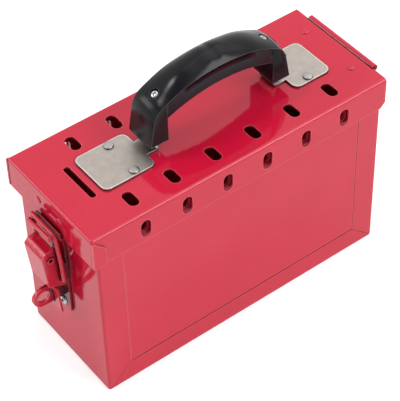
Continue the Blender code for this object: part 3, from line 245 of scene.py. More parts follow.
bareSteel = {
    "stain": (170, 6, 0.7),
    "tones": (
        (0.3, (0.41, 0.36, 0.325)), (0.55, (0.46, 0.41, 0.375)), (0.75, (0.51, 0.46, 0.425)),
    ),
    "toneEdge": (0.78, 0.74, 0.7),  # bright where the shear has burnished it, and a painted highlight along the cut edges
    "edgeReach": 0.0019,
    "edgeFade": 1,
    "edgeSpan": (0.01, 0.1),
    # painted shade on the plates near the grip's feet and around the rivets
    "toneShade": (0.1, 0.085, 0.075),
    "shadeReach": 0.009,
    "shadeDepth": 0.85,
    "shadeSpan": (0.45, 0.92),
    "grain": (1, 3),
    "grainStretch": (40, 900, 40),  # lines along the plate, as it was rolled
    "grainHeight": 0.000012,
    "roughness": (0.34, 0.48),
}
# the rivets: a painted highlight on the head's edge and painted shade around its foot
rivetSteel = {
    **bareSteel,
    "tones": ((0.3, (0.36, 0.34, 0.32)), (0.7, (0.46, 0.44, 0.42))),
    "toneEdge": (0.78, 0.76, 0.74),
    "edgeReach": 0.0003,
    "edgeFade": 0.4,
    "toneShade": (0.05, 0.045, 0.04),
    "shadeReach": 0.004,
    "shadeDepth": 0.95,
    "shadeSpan": (0.45, 0.9),
    "grainStretch": (300, 300, 300),
    "grainHeight": 0.000008,
    "roughness": (0.3, 0.42),
}
# the hinge's pin, its ends reddened by the paint of the leaves
pinSteel = {
    **rivetSteel,
    "tones": ((0.3, (0.2, 0.012, 0.025)), (0.7, (0.3, 0.025, 0.04))),
    "toneEdge": (0.5, 0.12, 0.14),
    "toneShade": (0.03, 0.015, 0.012),
    "shadeReach": 0.002,
    "shadeDepth": 0.9,
    "shadeSpan": (0.45, 0.85),
    "roughness": (0.4, 0.55),
}
# bright zinc for the screws and the base rivets, with painted shade in their recesses and a
# painted highlight on their edges
brightZinc = {
    **rivetSteel,
    "tones": ((0.35, (0.52, 0.54, 0.56)), (0.65, (0.74, 0.76, 0.78))),
    "toneEdge": (0.9, 0.91, 0.93),
    "edgeFade": 0.7,
    "toneShade": (0.02, 0.02, 0.022),
    "shadeReach": 0.0016,
    "shadeSpan": (0.45, 0.85),
    "grainHeight": 0.000006,
    "roughness": (0.16, 0.28),
}


def rolledSteel(name, look):
    material, tree, shader = newMaterial(name)
    where = objectSpace(tree)
    rolled = noise(tree, objectSpace(tree, look["grainStretch"]), *look["grain"])
    colour = tones(tree, noise(tree, where, *look["stain"]), look["tones"])
    colour = paintedGrooveShade(tree, litAndWornEdges(tree, colour, look), look)
    tree.links.new(colour, shader.inputs["Base Color"])
    tree.links.new(spread(tree, rolled, *look["roughness"]), shader.inputs["Roughness"])
    shader.inputs["Metallic"].default_value = 1
    relief(tree, shader, [(rolled, look["grainHeight"])])
    return material


blackPlastic = {
    "cloud": (40, 3),
    "tones": ((0.3, (0.004, 0.004, 0.006)), (0.7, (0.007, 0.007, 0.0095))),
    "toneEdge": (0.13, 0.13, 0.14),  # a painted highlight along the crease and the mould's parting line
    "edgeReach": 0.0008,
    "edgeFade": 0.7,
    "edgeSpan": (0.02, 0.15),
    "scuff": (160, 4),
    "roughness": (0.17, 0.24),
    "refraction": 1.31,
    "texture": (1900, 2),  # moulded spark texture, crests about half a millimetre apart
    "textureHeight": 0.000006,
    "sink": (60, 1),
    "sinkHeight": 0.00001,
}


def mouldedPlastic(name, look):
    material, tree, shader = newMaterial(name)
    where = objectSpace(tree)
    colour = tones(tree, noise(tree, where, *look["cloud"]), look["tones"])
    tree.links.new(litAndWornEdges(tree, colour, look), shader.inputs["Base Color"])
    scuff = noise(tree, where, *look["scuff"])
    tree.links.new(spread(tree, scuff, *look["roughness"]), shader.inputs["Roughness"])
    shader.inputs["IOR"].default_value = look["refraction"]
    fine = noise(tree, where, *look["texture"])
    sink = noise(tree, where, *look["sink"])
    relief(tree, shader, [(sink, look["sinkHeight"]), (fine, look["textureHeight"])])
    return material


materials = {
    "redPaint": powderCoat("redPaint", redPaint),
    "latchPaint": powderCoat("latchPaint", latchPaint),
    "hingePaint": powderCoat("hingePaint", hingePaint),
    "bareSteel": rolledSteel("bareSteel", bareSteel),
    "rivetSteel": rolledSteel("rivetSteel", rivetSteel),
    "pinSteel": rolledSteel("pinSteel", pinSteel),
    "brightZinc": rolledSteel("brightZinc", brightZinc),
    "blackPlastic": mouldedPlastic("blackPlastic", blackPlastic),
}
bracketRivetNodes = [f"bracket_rivet_{number}" for number in (1, 2, 3, 4)]
baseRivetNodes = ["base_rivet_1", "base_rivet_2"]
screwNodes = ["handle_screw_left", "handle_screw_right"]
nodesOfFinish = {
    "redPaint": cadNodes,  # what no line below names
    "latchPaint": (
        "latch_base", "latch_lever", "latch_bail", "latch_keeper", "lever_pin", "padlock_eye",
    ),
    "hingePaint": ("hinge_lid_leaf", "hinge_body_leaf"),
    "bareSteel": ("handle_bracket_left", "handle_bracket_right"),
    "rivetSteel": bracketRivetNodes,
    "pinSteel": ("hinge_pin",),
    "brightZinc": baseRivetNodes + screwNodes,
    "blackPlastic": ("handle_grip",),
}
finishOf = {}
for finish, nodeNames in nodesOfFinish.items():
    finishOf.update(dict.fromkeys(nodeNames, finish))
for nodeName, finish in finishOf.items():
    node = cadNodes[nodeName]
    node.data.materials.clear()
    node.data.materials.append(materials[finish])
print("lockout box: finishes mixed")


# turns a piece with modifiers into a plain mesh
def settle(piece):
    bpy.context.view_layer.update()
    evaluated = piece.evaluated_get(bpy.context.evaluated_depsgraph_get())
    mesh = bpy.data.meshes.new_from_object(evaluated)
    piece.modifiers.clear()
    old = piece.data
    piece.data = mesh
    bpy.data.meshes.remove(old)
    return piece


def addPiece(name, mesh):
    piece = bpy.data.objects.new(name, mesh)
    bpy.context.scene.collection.objects.link(piece)
    return piece


sharpTurn = math.radians(32)  # an edge that turns less belongs to a curved face


def softenEdges(piece, width, segments, limit="ANGLE"):
    bevel = piece.modifiers.new("edge rounding", "BEVEL")
    bevel.width = width
    bevel.segments = segments
    bevel.limit_method = limit
    bevel.angle_limit = sharpTurn
    bevel.miter_outer = "MITER_ARC"
    bevel.face_strength_mode = "FSTR_AFFECTED"
    weigh = piece.modifiers.new("even shading", "WEIGHTED_NORMAL")
    weigh.use_face_influence = True


# hands a finished piece to the body of the nodes that it stands for
def fit(piece, nodeNames):
    finish = finishOf[nodeNames[0]]
    piece.data.materials.clear()
    piece.data.materials.append(materials[finish])
    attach(piece, bodyOf[nodeNames[0]])
    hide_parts(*nodeNames)
    return piece


# folded and punched sheet: the rounding of its long folds, of its cut edges, and the steps
sheetEdges = {
    "lid": (0.0009, 0.0005, 4),
    "body_shell": (0.0006, 0.0003, 3),
    "latch_lever": (0.0006, 0.0005, 3),
    "latch_base": (0.0004, 0.0004, 3),
    "latch_keeper": (0.0003, 0.0003, 2),
    "padlock_eye": (0.0006, 0.0006, 3),
    "hinge_lid_leaf": (0.0002, 0.0002, 2),
    "hinge_body_leaf": (0.0002, 0.0002, 2),
    "handle_bracket_left": (0.0004, 0.0004, 3),
    "handle_bracket_right": (0.0004, 0.0004, 3),
    "lever_pin": (0.00025, 0.00025, 3),
}
sheetMesh = {
    "weld": 0.000004,
    "flatTurn": math.radians(0.6),  # faces that turn less are one flat face
    "foldLength": 0.05,  # a fold is longer than this, a cut edge shorter
}


def roundedSheet(nodeName, foldWidth, cutWidth, segments):
    sheet = bmesh.new()
    sheet.from_mesh(cadNodes[nodeName].data)
    bmesh.ops.remove_doubles(sheet, verts=sheet.verts, dist=sheetMesh["weld"])
    bmesh.ops.dissolve_limit(
        sheet, angle_limit=sheetMesh["flatTurn"], verts=sheet.verts, edges=sheet.edges,
    )
    weights = sheet.edges.layers.float.new("bevel_weight_edge")
    for edge in sheet.edges:
        if edge.is_manifold and edge.calc_face_angle() > sharpTurn:
            isLong = edge.calc_length() > sheetMesh["foldLength"]
            isFold = isLong and edge.calc_face_angle_signed() > 0
            edge[weights] = 1 if isFold else cutWidth / foldWidth
    mesh = bpy.data.meshes.new(nodeName + "Sheet")
    sheet.to_mesh(mesh)
    sheet.free()
    mesh.shade_smooth()
    piece = addPiece(nodeName + "Sheet", mesh)
    softenEdges(piece, foldWidth, segments, "WEIGHT")
    return fit(settle(piece), [nodeName])


for nodeName, edges in sheetEdges.items():
    roundedSheet(nodeName, *edges)
print("lockout box: sheet edges rounded")


# an empty geometry tree with an input for each named size, whole numbers for counts
def openTree(name, sizes):
    tree = bpy.data.node_groups.new(name, "GeometryNodeTree")
    for way in ("INPUT", "OUTPUT"):
        tree.interface.new_socket("Geometry", in_out=way, socket_type="NodeSocketGeometry")
    for label, size in sizes.items():
        kind = "NodeSocketInt" if isinstance(size, int) else "NodeSocketFloat"
        tree.interface.new_socket(label, in_out="INPUT", socket_type=kind)
    return tree, put(tree, "NodeGroupInput").outputs


# realizes what the tree made, gives it its finish and closes the tree
def closeTree(tree, made, finish):
    real = put(tree, "GeometryNodeRealizeInstances", {0: made}).outputs[0]
    smooth = put(tree, "GeometryNodeSetShadeSmooth", {0: real}).outputs[0]
    feeds = {0: smooth, "Material": materials[finish]}
    painted = put(tree, "GeometryNodeSetMaterial", feeds).outputs[0]
    put(tree, "NodeGroupOutput", {0: painted})
    return tree


# runs a tree on a piece, with its inputs set by their sockets' identifiers
def grow(piece, tree, sizes):
    modifier = piece.modifiers.new(tree.name, "NODES")
    modifier.node_group = tree
    for item in tree.interface.items_tree:
        if item.item_type == "SOCKET" and item.in_out == "INPUT" and item.name in sizes:
            modifier[item.identifier] = sizes[item.name]
    return piece


# the steps that the trees below repeat, from here to the value of a named attribute
def vector(tree, **parts):
    return put(tree, "ShaderNodeCombineXYZ", parts).outputs[0]


# a shape turned about the origin and then moved by the distances given as X, Y and Z
def moved(tree, shape, rotation=(0, 0, 0), **distances):
    feeds = {0: shape, "Translation": vector(tree, **distances), "Rotation": rotation}
    return put(tree, "GeometryNodeTransform", feeds).outputs[0]


def joined(tree, *shapes):
    join = put(tree, "GeometryNodeJoinGeometry")
    for shape in shapes:
        tree.links.new(shape, join.inputs[0])
    return join.outputs[0]


def cutAway(tree, shape, cutter):
    feeds = {"Mesh 1": shape, "Mesh 2": cutter}
    cut = put(tree, "GeometryNodeMeshBoolean", feeds, operation="DIFFERENCE", solver="EXACT")
    return cut.outputs[0]


def rod(tree, sides, radius, depth):
    feeds = {"Vertices": sides, "Radius": radius, "Depth": depth}
    return put(tree, "GeometryNodeMeshCylinder", feeds).outputs["Mesh"]


def welded(tree, shape, reach):
    return put(tree, "GeometryNodeMergeByDistance", {0: shape, "Distance": reach}).outputs[0]


def namedValue(tree, name, kind="FLOAT"):
    return put(tree, "GeometryNodeInputNamedAttribute", {"Name": name}, data_type=kind).outputs[0]


# places as loose points, each with the way that its fastener faces and its turn about that way
def placeMesh(name, places):
    mesh = bpy.data.meshes.new(name)
    mesh.from_pydata([place for place, facing, turn in places], [], [])
    mesh.attributes.new("facing", "FLOAT_VECTOR", "POINT")
    mesh.attributes.new("turning", "FLOAT", "POINT")
    for index, (place, facing, turn) in enumerate(places):
        mesh.attributes["facing"].data[index].vector = facing
        mesh.attributes["turning"].data[index].value = turn
    return mesh


# rivets and screws: their heads' rings and points around, and the smooth rods' sides
fastenerMesh = {
    "rings": 15,
    "around": 41,
    "underside": 0.0002,  # how far the head's flat underside lies below its seat
    "weld": 0.000002,
    "boreSides": 32,
    "shankSides": 24,
    "leastBore": 0.0001,
    "tiny": 0.000001,  # keeps the powers of sine and cosine above zero
}


# a fastener head: a disc whose shoulder runs from a dome to a flat cap as squareness grows;
# a grid's rows become its rings, the first two its flat underside
def headShape(tree, radius, rise, squareness):
    rings, tiny = fastenerMesh["rings"], fastenerMesh["tiny"]
    grid = put(tree, "GeometryNodeMeshGrid", {
        "Size X": 1, "Size Y": rings - 1,
        "Vertices X": fastenerMesh["around"], "Vertices Y": rings,
    }).outputs["Mesh"]
    position = put(tree, "GeometryNodeInputPosition").outputs[0]
    spot = put(tree, "ShaderNodeSeparateXYZ", {0: position}).outputs
    turn = calc(tree, "MULTIPLY", calc(tree, "ADD", spot["X"], 0.5), math.tau)
    ring = calc(tree, "ADD", spot["Y"], (rings - 1) / 2)
    above = calc(tree, "MAXIMUM", calc(tree, "SUBTRACT", ring, 2.0), 0.0)
    climb = calc(tree, "MULTIPLY", above, math.pi / 2 / (rings - 3))
    power = calc(tree, "DIVIDE", 2.0, squareness)
    lean = calc(tree, "MAXIMUM", calc(tree, "COSINE", climb), tiny)
    lift = calc(tree, "MAXIMUM", calc(tree, "SINE", climb), tiny)
    offCentre = calc(tree, "GREATER_THAN", ring, 0.5)
    isUnder = calc(tree, "LESS_THAN", ring, 1.5)
    rim = calc(tree, "MULTIPLY", calc(tree, "POWER", lean, power), radius)
    reach = calc(tree, "MULTIPLY", rim, offCentre)
    low = calc(tree, "MULTIPLY", isUnder, fastenerMesh["underside"])
    top = calc(tree, "MULTIPLY", calc(tree, "POWER", lift, power), rise)
    place = vector(
        tree,
        X=calc(tree, "MULTIPLY", reach, calc(tree, "COSINE", turn)),
        Y=calc(tree, "MULTIPLY", reach, calc(tree, "SINE", turn)),
        Z=calc(tree, "SUBTRACT", top, low),
    )
    shaped = put(tree, "GeometryNodeSetPosition", {0: grid, "Position": place}).outputs[0]
    return welded(tree, shaped, fastenerMesh["weld"])


# puts one fastener on every place, turned the way that the place faces
def setOnPlaces(tree, places, fastener):
    facing = namedValue(tree, "facing", "FLOAT_VECTOR")
    turning = namedValue(tree, "turning")
    aimed = put(tree, "FunctionNodeAlignRotationToVector", {"Vector": facing}, axis="Z").outputs[0]
    spin = put(tree, "FunctionNodeAxisAngleToRotation", {"Axis": (0, 0, 1), "Angle": turning})
    full = put(tree, "FunctionNodeRotateRotation", {
        "Rotation": aimed, "Rotate By": spin.outputs[0],
    }, rotation_space="LOCAL").outputs[0]
    feeds = {"Points": places, "Instance": fastener, "Rotation": full}
    return put(tree, "GeometryNodeInstanceOnPoints", feeds).outputs[0]


lidTop = 0.1502
wallX = -0.1147  # the latch end's wall; the hinge end's is its mirror image
upward, endward, hingeward = (0, 0, 1), (-1, 0, 0), (1, 0, 0)
bracketRivets = {
    "alongs": (-0.0641, 0.0757),
    "across": 0.0138,
    "seat": 0.0017,  # the plate's top over the lid
    "sizes": {
        "Head Radius": 0.0033, "Head Rise": 0.0012, "Squareness": 4.5,
        "Shank Radius": 0.0016, "Stack": 0.0031,
        "Tail Radius": 0.0026, "Tail Rise": 0.0008,
        "Bore Radius": 0.001, "Bore Depth": 0.0,
    },
}
# each pair's place along the box, distance from the middle plane, and height; the seats lie
# a little outside the lid and the walls, on the leaves and the keeper
flatRivets = {
    "lidLeaf": (0.1049, 0.0235, lidTop + 0.0001),
    "keeper": (wallX - 0.0049, 0.012, 0.14),
    "bodyLeaf": (-wallX + 0.0014, 0.0235, 0.1369),
    "sizes": {
        "Head Radius": 0.0026, "Head Rise": 0.0008, "Squareness": 2.6,
        "Shank Radius": 0.0013, "Stack": 0.0028,
        "Tail Radius": 0.0021, "Tail Rise": 0.0007,
        "Bore Radius": 0.001, "Bore Depth": 0.0,
    },
}
baseRivets = {
    "seat": 0.0019,  # the base plate's face outside the wall
    "heights": (0.0553, 0.102),
    "sizes": {
        "Head Radius": 0.0038, "Head Rise": 0.0012, "Squareness": 2.8,
        "Shank Radius": 0.0022, "Stack": 0.0031,
        "Tail Radius": 0.0031, "Tail Rise": 0.0012,
        "Bore Radius": 0.0018, "Bore Depth": 0.0026,
    },
}


# a rivet: head, shank through the stack, and the tail set under it; a bore opens the head
def rivetTree(name, finish):
    tree, given = openTree(name, flatRivets["sizes"])
    head = headShape(tree, given["Head Radius"], given["Head Rise"], given["Squareness"])
    bore = rod(tree, fastenerMesh["boreSides"], given["Bore Radius"], given["Bore Depth"])
    opened = cutAway(tree, head, moved(tree, bore, Z=given["Head Rise"]))
    hasBore = put(tree, "FunctionNodeCompare", {
        0: given["Bore Depth"], 1: fastenerMesh["leastBore"],
    }, operation="GREATER_THAN").outputs[0]
    top = put(tree, "GeometryNodeSwitch", {
        "Switch": hasBore, "False": head, "True": opened,
    }, input_type="GEOMETRY").outputs[0]
    shank = rod(tree, fastenerMesh["shankSides"], given["Shank Radius"], given["Stack"])
    through = moved(tree, shank, Z=calc(tree, "MULTIPLY", given["Stack"], -0.5))
    tail = headShape(tree, given["Tail Radius"], given["Tail Rise"], given["Squareness"])
    deep = calc(tree, "MULTIPLY", given["Stack"], -1.0)
    under = moved(tree, tail, (math.pi, 0, 0), Z=deep)
    whole = joined(tree, under, through, top)
    return closeTree(tree, setOnPlaces(tree, given["Geometry"], whole), finish)


# all the fasteners of one kind as one piece, which stands for their nodes
def fasten(name, tree, sizes, places, nodeNames):
    piece = grow(addPiece(name, placeMesh(name, places)), tree, sizes)
    return fit(settle(piece), nodeNames)


# two places that mirror each other across the long middle plane
def pairOf(x, y, z, facing):
    return [((x, side * y, z), facing, 0) for side in (-1, 1)]


steelRivet = rivetTree("setRivet", "rivetSteel")
paintedRivet = rivetTree("paintedRivet", "redPaint")
boredRivet = rivetTree("boredRivet", "brightZinc")
plateTop = lidTop + bracketRivets["seat"]
bracketPlaces = []
for along in bracketRivets["alongs"]:
    bracketPlaces += pairOf(along, bracketRivets["across"], plateTop, upward)
fasten("bracketRivets", steelRivet, bracketRivets["sizes"], bracketPlaces, bracketRivetNodes)
fasten(
    "lidRivets", paintedRivet, flatRivets["sizes"],
    pairOf(*flatRivets["lidLeaf"], upward) + pairOf(*flatRivets["keeper"], endward),
    ["hinge_lid_rivet_1", "hinge_lid_rivet_2", "keeper_rivet_1", "keeper_rivet_2"],
)
fasten(
    "bodyLeafRivets", paintedRivet, flatRivets["sizes"],
    pairOf(*flatRivets["bodyLeaf"], hingeward),
    ["hinge_body_rivet_1", "hinge_body_rivet_2"],
)
fasten(
    "baseRivets", boredRivet, baseRivets["sizes"],
    [((wallX - baseRivets["seat"], 0, height), endward, 0) for height in baseRivets["heights"]],
    baseRivetNodes,
)
print("lockout box: rivets set")

latchWire = {
    "sizes": {"Wire Radius": 0.0016, "Bend Steps": 9, "Round Steps": 16, "Tip Steps": 3},
    # the bent wire's corners as (x, y, z, bend radius), from the bar behind to the free tip
    "corners": (
        (-0.1248, 0.0127, 0.131, 0), (-0.1248, -0.0129, 0.131, 0.0026),
        (-0.1227, -0.0129, 0.107, 0.04), (-0.1217, -0.0129, 0.0875, 0.0026),
        (-0.1217, 0.0129, 0.0875, 0.0026), (-0.1227, 0.0129, 0.107, 0.04),
        (-0.1241, 0.0129, 0.123, 0.006), (-0.1281, 0.0129, 0.1282, 0.0026),
        (-0.1281, -0.012, 0.1298, 0),
    ),
}


# a wire bent along a chain of points, each with its bend radius, with ball-shaped ends
def wireTree(finish):
    tree, given = openTree("bentWire", latchWire["sizes"])
    bend = namedValue(tree, "bend")
    chain = put(tree, "GeometryNodeMeshToCurve", {0: given["Geometry"]}).outputs[0]
    route = put(tree, "GeometryNodeFilletCurve", {
        0: chain, "Radius": bend, "Count": given["Bend Steps"],
    }, mode="POLY").outputs[0]
    ring = put(tree, "GeometryNodeCurvePrimitiveCircle", {
        "Resolution": given["Round Steps"], "Radius": given["Wire Radius"],
    }).outputs[0]
    feeds = {0: route, 1: ring, "Fill Caps": True}
    wire = put(tree, "GeometryNodeCurveToMesh", feeds).outputs[0]
    ball = put(tree, "GeometryNodeMeshIcoSphere", {
        "Radius": given["Wire Radius"], "Subdivisions": given["Tip Steps"],
    }).outputs[0]
    tips = put(tree, "GeometryNodeCurveEndpointSelection").outputs[0]
    feeds = {"Points": route, "Selection": tips, "Instance": ball}
    ends = put(tree, "GeometryNodeInstanceOnPoints", feeds).outputs[0]
    return closeTree(tree, joined(tree, wire, ends), finish)


def bendBail():
    corners = latchWire["corners"]
    links = [(i, i + 1) for i in range(len(corners) - 1)]
    mesh = bpy.data.meshes.new("bailWire")
    mesh.from_pydata([corner[:3] for corner in corners], links, [])
    bends = mesh.attributes.new("bend", "FLOAT", "POINT")
    for index, corner in enumerate(corners):
        bends.data[index].value = corner[3]
    piece = grow(addPiece("bailWire", mesh), wireTree("latchPaint"), latchWire["sizes"])
    return fit(settle(piece), ["latch_bail"])


bendBail()
print("lockout box: bail bent")

# the moulded grip: its side view as shares of half its length and of its crease's height
gripShape = {
    "centreX": 0.0061938, "footZ": 0.1595,
    "halfLength": 0.0553083, "creaseHeight": 0.0389, "halfWidth": 0.012,
    "crown": 0.0056, "crownPower": 2.2, "wall": 0.0026, "blockInset": 0.0002,
    "crease": (
        (0, 1), (0.253, 0.979), (0.506, 0.91), (0.754, 0.763),
        (0.861, 0.674), (0.92, 0.553), (0.948, 0.424), (1, 0),
    ),
    "rim": (
        (0, 0.668), (0.253, 0.645), (0.506, 0.573), (0.754, 0.46),
        (0.781, 0.452), (0.799, 0.416), (0.814, 0.347), (0.85, 0),
    ),
    "cavityRim": (
        (0, 0.645), (0.253, 0.622), (0.506, 0.55), (0.754, 0.44),
        (0.8, 0.43), (0.8, 0.32), (0.8, 0.16), (0.8, -0.05),
    ),
    "crownRise": (1, 0.93, 0.7, 0.36, 0.27, 0.22, 0.19, 0.15),
    "crownSteps": 12,  # on each side of the middle
    "sides": ((0.915, 0.13), (0.915, 0.5), (0.965, 0.6), (0.965, 1)),
    "stepsPerSpan": 8, "footStation": 3, "slopeStep": 0.01,
    "rounding": 0.0006, "roundingSteps": 3,
}
screwShape = {
    "sizes": {
        "Head Radius": 0.0028, "Head Rise": 0.0014, "Squareness": 2.6,
        "Cross Reach": 0.0034, "Cross Width": 0.0007, "Cross Depth": 0.0008,
        "Shank Radius": 0.0016, "Shank Length": 0.0086,
    },
    "station": 3.05, "turn": math.radians(27), "seatLift": 0.0003,
    "recessDepth": 0.0018, "recessRadius": 0.0034, "boreRadius": 0.0019,
    "cutterSteps": 48, "cutterLength": 0.02,
}


# a point on the smooth curve through the shares, at a place counted in them
def alongShares(shares, at):
    first = min(int(at), len(shares) - 2)
    part = at - first
    before = Vector(shares[first - 1]) if first else Vector((-shares[1][0], shares[1][1]))
    here, ahead = Vector(shares[first]), Vector(shares[first + 1])
    beyond = Vector(shares[first + 2]) if first + 2 < len(shares) else ahead * 2 - here
    linear = (ahead - before) * part
    square = (before * 2 - here * 5 + ahead * 4 - beyond) * part**2
    cube = (here * 3 - before - ahead * 3 + beyond) * part**3
    return (here * 2 + linear + square + cube) / 2


def sidePlace(shares, at):
    share = alongShares(shares, at)
    return Vector((share.x * gripShape["halfLength"], share.y * gripShape["creaseHeight"]))


# the crease point at a station, and the direction that points out of the grip there
def creaseFrame(at):
    shares, step = gripShape["crease"], gripShape["slopeStep"]
    behind = sidePlace(shares, max(at - step, 0))
    ahead = sidePlace(shares, min(at + step, len(shares) - 1))
    along = (ahead - behind).normalized() if at else Vector((1, 0))
    return sidePlace(shares, at), Vector((-along.y, along.x))


def crownRise(at):
    pairs = [(share, 0) for share in gripShape["crownRise"]]
    return gripShape["crown"] * (alongShares(pairs, at).x if at else 1)


def outerSection(at):
    crease, out = creaseFrame(at)
    rim = sidePlace(gripShape["rim"], at)
    steps, half = gripShape["crownSteps"], gripShape["halfWidth"]
    section = []
    for index in range(-steps, steps + 1):
        share = math.sin(index / steps * math.pi / 2)
        place = crease + out * crownRise(at) * (1 - abs(share) ** gripShape["crownPower"])
        section.append((place.x, share * half, place.y))
    for way, sides in ((1, gripShape["sides"]), (-1, gripShape["sides"][::-1])):
        for widthShare, depthShare in sides:
            place = crease.lerp(rim, depthShare)
            section.append((place.x, way * widthShare * half, place.y))
    return section


def cavitySection(at):
    crease, out = creaseFrame(at)
    roof = crease - out * gripShape["wall"]
    rim = sidePlace(gripShape["cavityRim"], at)
    if at == len(gripShape["crease"]) - 1:
        roof.y = rim.y
    half = gripShape["sides"][0][0] * gripShape["halfWidth"] - gripShape["wall"]
    corners = ((roof, -half), (roof, half), (rim, half), (rim, -half))
    return [(place.x, y, place.y) for place, y in corners]


# skins a row of sections into a closed mesh, placed at the grip's foot
def skinSections(name, sections):
    skin = bmesh.new()
    foot = Vector((gripShape["centreX"], 0, gripShape["footZ"]))
    rows = [[skin.verts.new(foot + Vector(point)) for point in section] for section in sections]
    count = len(rows[0])
    for first, second in zip(rows, rows[1:]):
        for i in range(count):
            j = (i + 1) % count
            skin.faces.new((first[i], second[i], second[j], first[j]))
    skin.faces.new(rows[0])
    skin.faces.new(rows[-1])
    bmesh.ops.recalc_face_normals(skin, faces=skin.faces)
    mesh = bpy.data.meshes.new(name)
    skin.to_mesh(mesh)
    skin.free()
    return addPiece(name, mesh)


# both halves of a loft: the same sections at each side of the middle
def loftArch(name, sectionAt):
    perSpan = gripShape["stepsPerSpan"]
    last = (len(gripShape["crease"]) - 1) * perSpan
    sections = []
    for index in range(-last, last + 1):
        section = sectionAt(abs(index) / perSpan)
        side = -1 if index < 0 else 1
        sections.append([(side * x, y, z) for x, y, z in section])
    return skinSections(name, sections)


# the flush side walls of one foot, below the crease
def footBlock(side):
    perSpan, start = gripShape["stepsPerSpan"], gripShape["footStation"]
    outline = []
    for index in range((len(gripShape["crease"]) - 1 - start) * perSpan + 1):
        crease, out = creaseFrame(start + index / perSpan)
        outline.append(crease - out * gripShape["blockInset"])
    innerX = sidePlace(gripShape["rim"], start).x
    outline[-1].y = 0
    outline[0].x = innerX
    outline.append(Vector((innerX, 0)))
    half = gripShape["halfWidth"] - gripShape["blockInset"]
    return skinSections(
        "footBlock", [[(side * place.x, y, place.y) for place in outline] for y in (-half, half)],
    )


# where a handle screw sits on the crown, and the way out of the grip there
def screwFrame(side):
    crease, out = creaseFrame(screwShape["station"])
    top = crease + out * crownRise(screwShape["station"])
    place = Vector((gripShape["centreX"] + side * top.x, 0, gripShape["footZ"] + top.y))
    return place, Vector((side * out.x, 0, out.y))


def roundCutter(name, middle, way, radius):
    turn = way.to_track_quat("Z", "Y").to_matrix().to_4x4()
    cutter = bmesh.new()
    bmesh.ops.create_cone(
        cutter, cap_ends=True, segments=screwShape["cutterSteps"],
        radius1=radius, radius2=radius, depth=screwShape["cutterLength"],
        matrix=Matrix.Translation(middle) @ turn,
    )
    mesh = bpy.data.meshes.new(name)
    cutter.to_mesh(mesh)
    cutter.free()
    return addPiece(name, mesh)


def combine(piece, other, operation):
    step = piece.modifiers.new(other.name, "BOOLEAN")
    step.operation = operation
    step.solver = "EXACT"
    step.object = other
    settle(piece)
    bpy.data.objects.remove(other)


def mouldGrip():
    grip = loftArch("gripMoulding", outerSection)
    for side in (-1, 1):
        combine(grip, footBlock(side), "UNION")
    combine(grip, loftArch("gripHollow", cavitySection), "DIFFERENCE")
    lift = screwShape["cutterLength"] / 2 - screwShape["recessDepth"]
    for side in (-1, 1):
        place, way = screwFrame(side)
        recess = roundCutter("recess", place + way * lift, way, screwShape["recessRadius"])
        combine(grip, recess, "DIFFERENCE")
        combine(grip, roundCutter("bore", place, way, screwShape["boreRadius"]), "DIFFERENCE")
    grip.data.shade_smooth()
    softenEdges(grip, gripShape["rounding"], gripShape["roundingSteps"])
    return fit(settle(grip), ["handle_grip"])


# a screw whose head is cut by a cross of two bars
def screwTree(finish):
    tree, given = openTree("crossScrew", screwShape["sizes"])
    head = headShape(tree, given["Head Radius"], given["Head Rise"], given["Squareness"])
    twice = calc(tree, "MULTIPLY", given["Cross Depth"], 2.0)
    for turn in (0, math.pi / 2):
        size = vector(tree, X=given["Cross Reach"], Y=given["Cross Width"], Z=twice)
        bar = put(tree, "GeometryNodeMeshCube", {"Size": size}).outputs[0]
        head = cutAway(tree, head, moved(tree, bar, (0, 0, turn), Z=given["Head Rise"]))
    shank = rod(tree, fastenerMesh["shankSides"], given["Shank Radius"], given["Shank Length"])
    below = moved(tree, shank, Z=calc(tree, "MULTIPLY", given["Shank Length"], -0.5))
    whole = joined(tree, below, head)
    return closeTree(tree, setOnPlaces(tree, given["Geometry"], whole), finish)


mouldGrip()
screwPlaces = []
for side in (-1, 1):
    place, way = screwFrame(side)
    seat = place - way * (screwShape["recessDepth"] - screwShape["seatLift"])
    screwPlaces.append((seat, way, screwShape["turn"]))
fasten(
    "handleScrews", screwTree("brightZinc"), screwShape["sizes"], screwPlaces, screwNodes,
)
print("lockout box: grip moulded and screwed on")

# front and back panels: slotted sheet with a field pressed out nearly flush with the borders
slottedPanel = {
    "Width": 0.2156, "Height": 0.1432, "Sheet": 0.0012,
    "Field Width": 0.19115, "Field Height": 0.1306, "Field Lift": 0.0013,
    "Slots": 6, "Slot Pitch": 0.031795, "Slot Width": 0.0075, "Slot Length": 0.0138,
    "Slot Rise": 0.0596,  # slots' middle over the panel's middle
    "Field Rise": 0.0063,
    "End Share": 0.4999,  # just under half the width, so that the slot's arcs don't meet
    "End Steps": 8,
}
panelPlace = {
    "middleZ": 0.0771, "insideY": 0.041, "rounding": 0.0002, "roundingSteps": 2,
    "weld": 0.000001,
}


# a row of slots: their outlines, laid flat
def slotRow(tree, given):
    endRadius = calc(tree, "MULTIPLY", given["Slot Width"], given["End Share"])
    slot = put(tree, "GeometryNodeCurvePrimitiveQuadrilateral", {
        "Width": given["Slot Width"], "Height": given["Slot Length"],
    }).outputs[0]
    slotRound = put(tree, "GeometryNodeFilletCurve", {
        0: slot, "Radius": endRadius, "Count": given["End Steps"],
    }, mode="POLY").outputs[0]
    spare = calc(tree, "SUBTRACT", given["Slots"], 1)
    rowLength = calc(tree, "MULTIPLY", given["Slot Pitch"], spare)
    row = put(tree, "GeometryNodeMeshLine", {
        "Count": given["Slots"],
        "Start Location": vector(
            tree, X=calc(tree, "MULTIPLY", rowLength, -0.5), Y=given["Slot Rise"],
        ),
        "Offset": vector(tree, X=given["Slot Pitch"]),
    }).outputs[0]
    feeds = {"Points": row, "Instance": slotRound}
    placed = put(tree, "GeometryNodeInstanceOnPoints", feeds).outputs[0]
    return put(tree, "GeometryNodeRealizeInstances", {0: placed}).outputs[0]


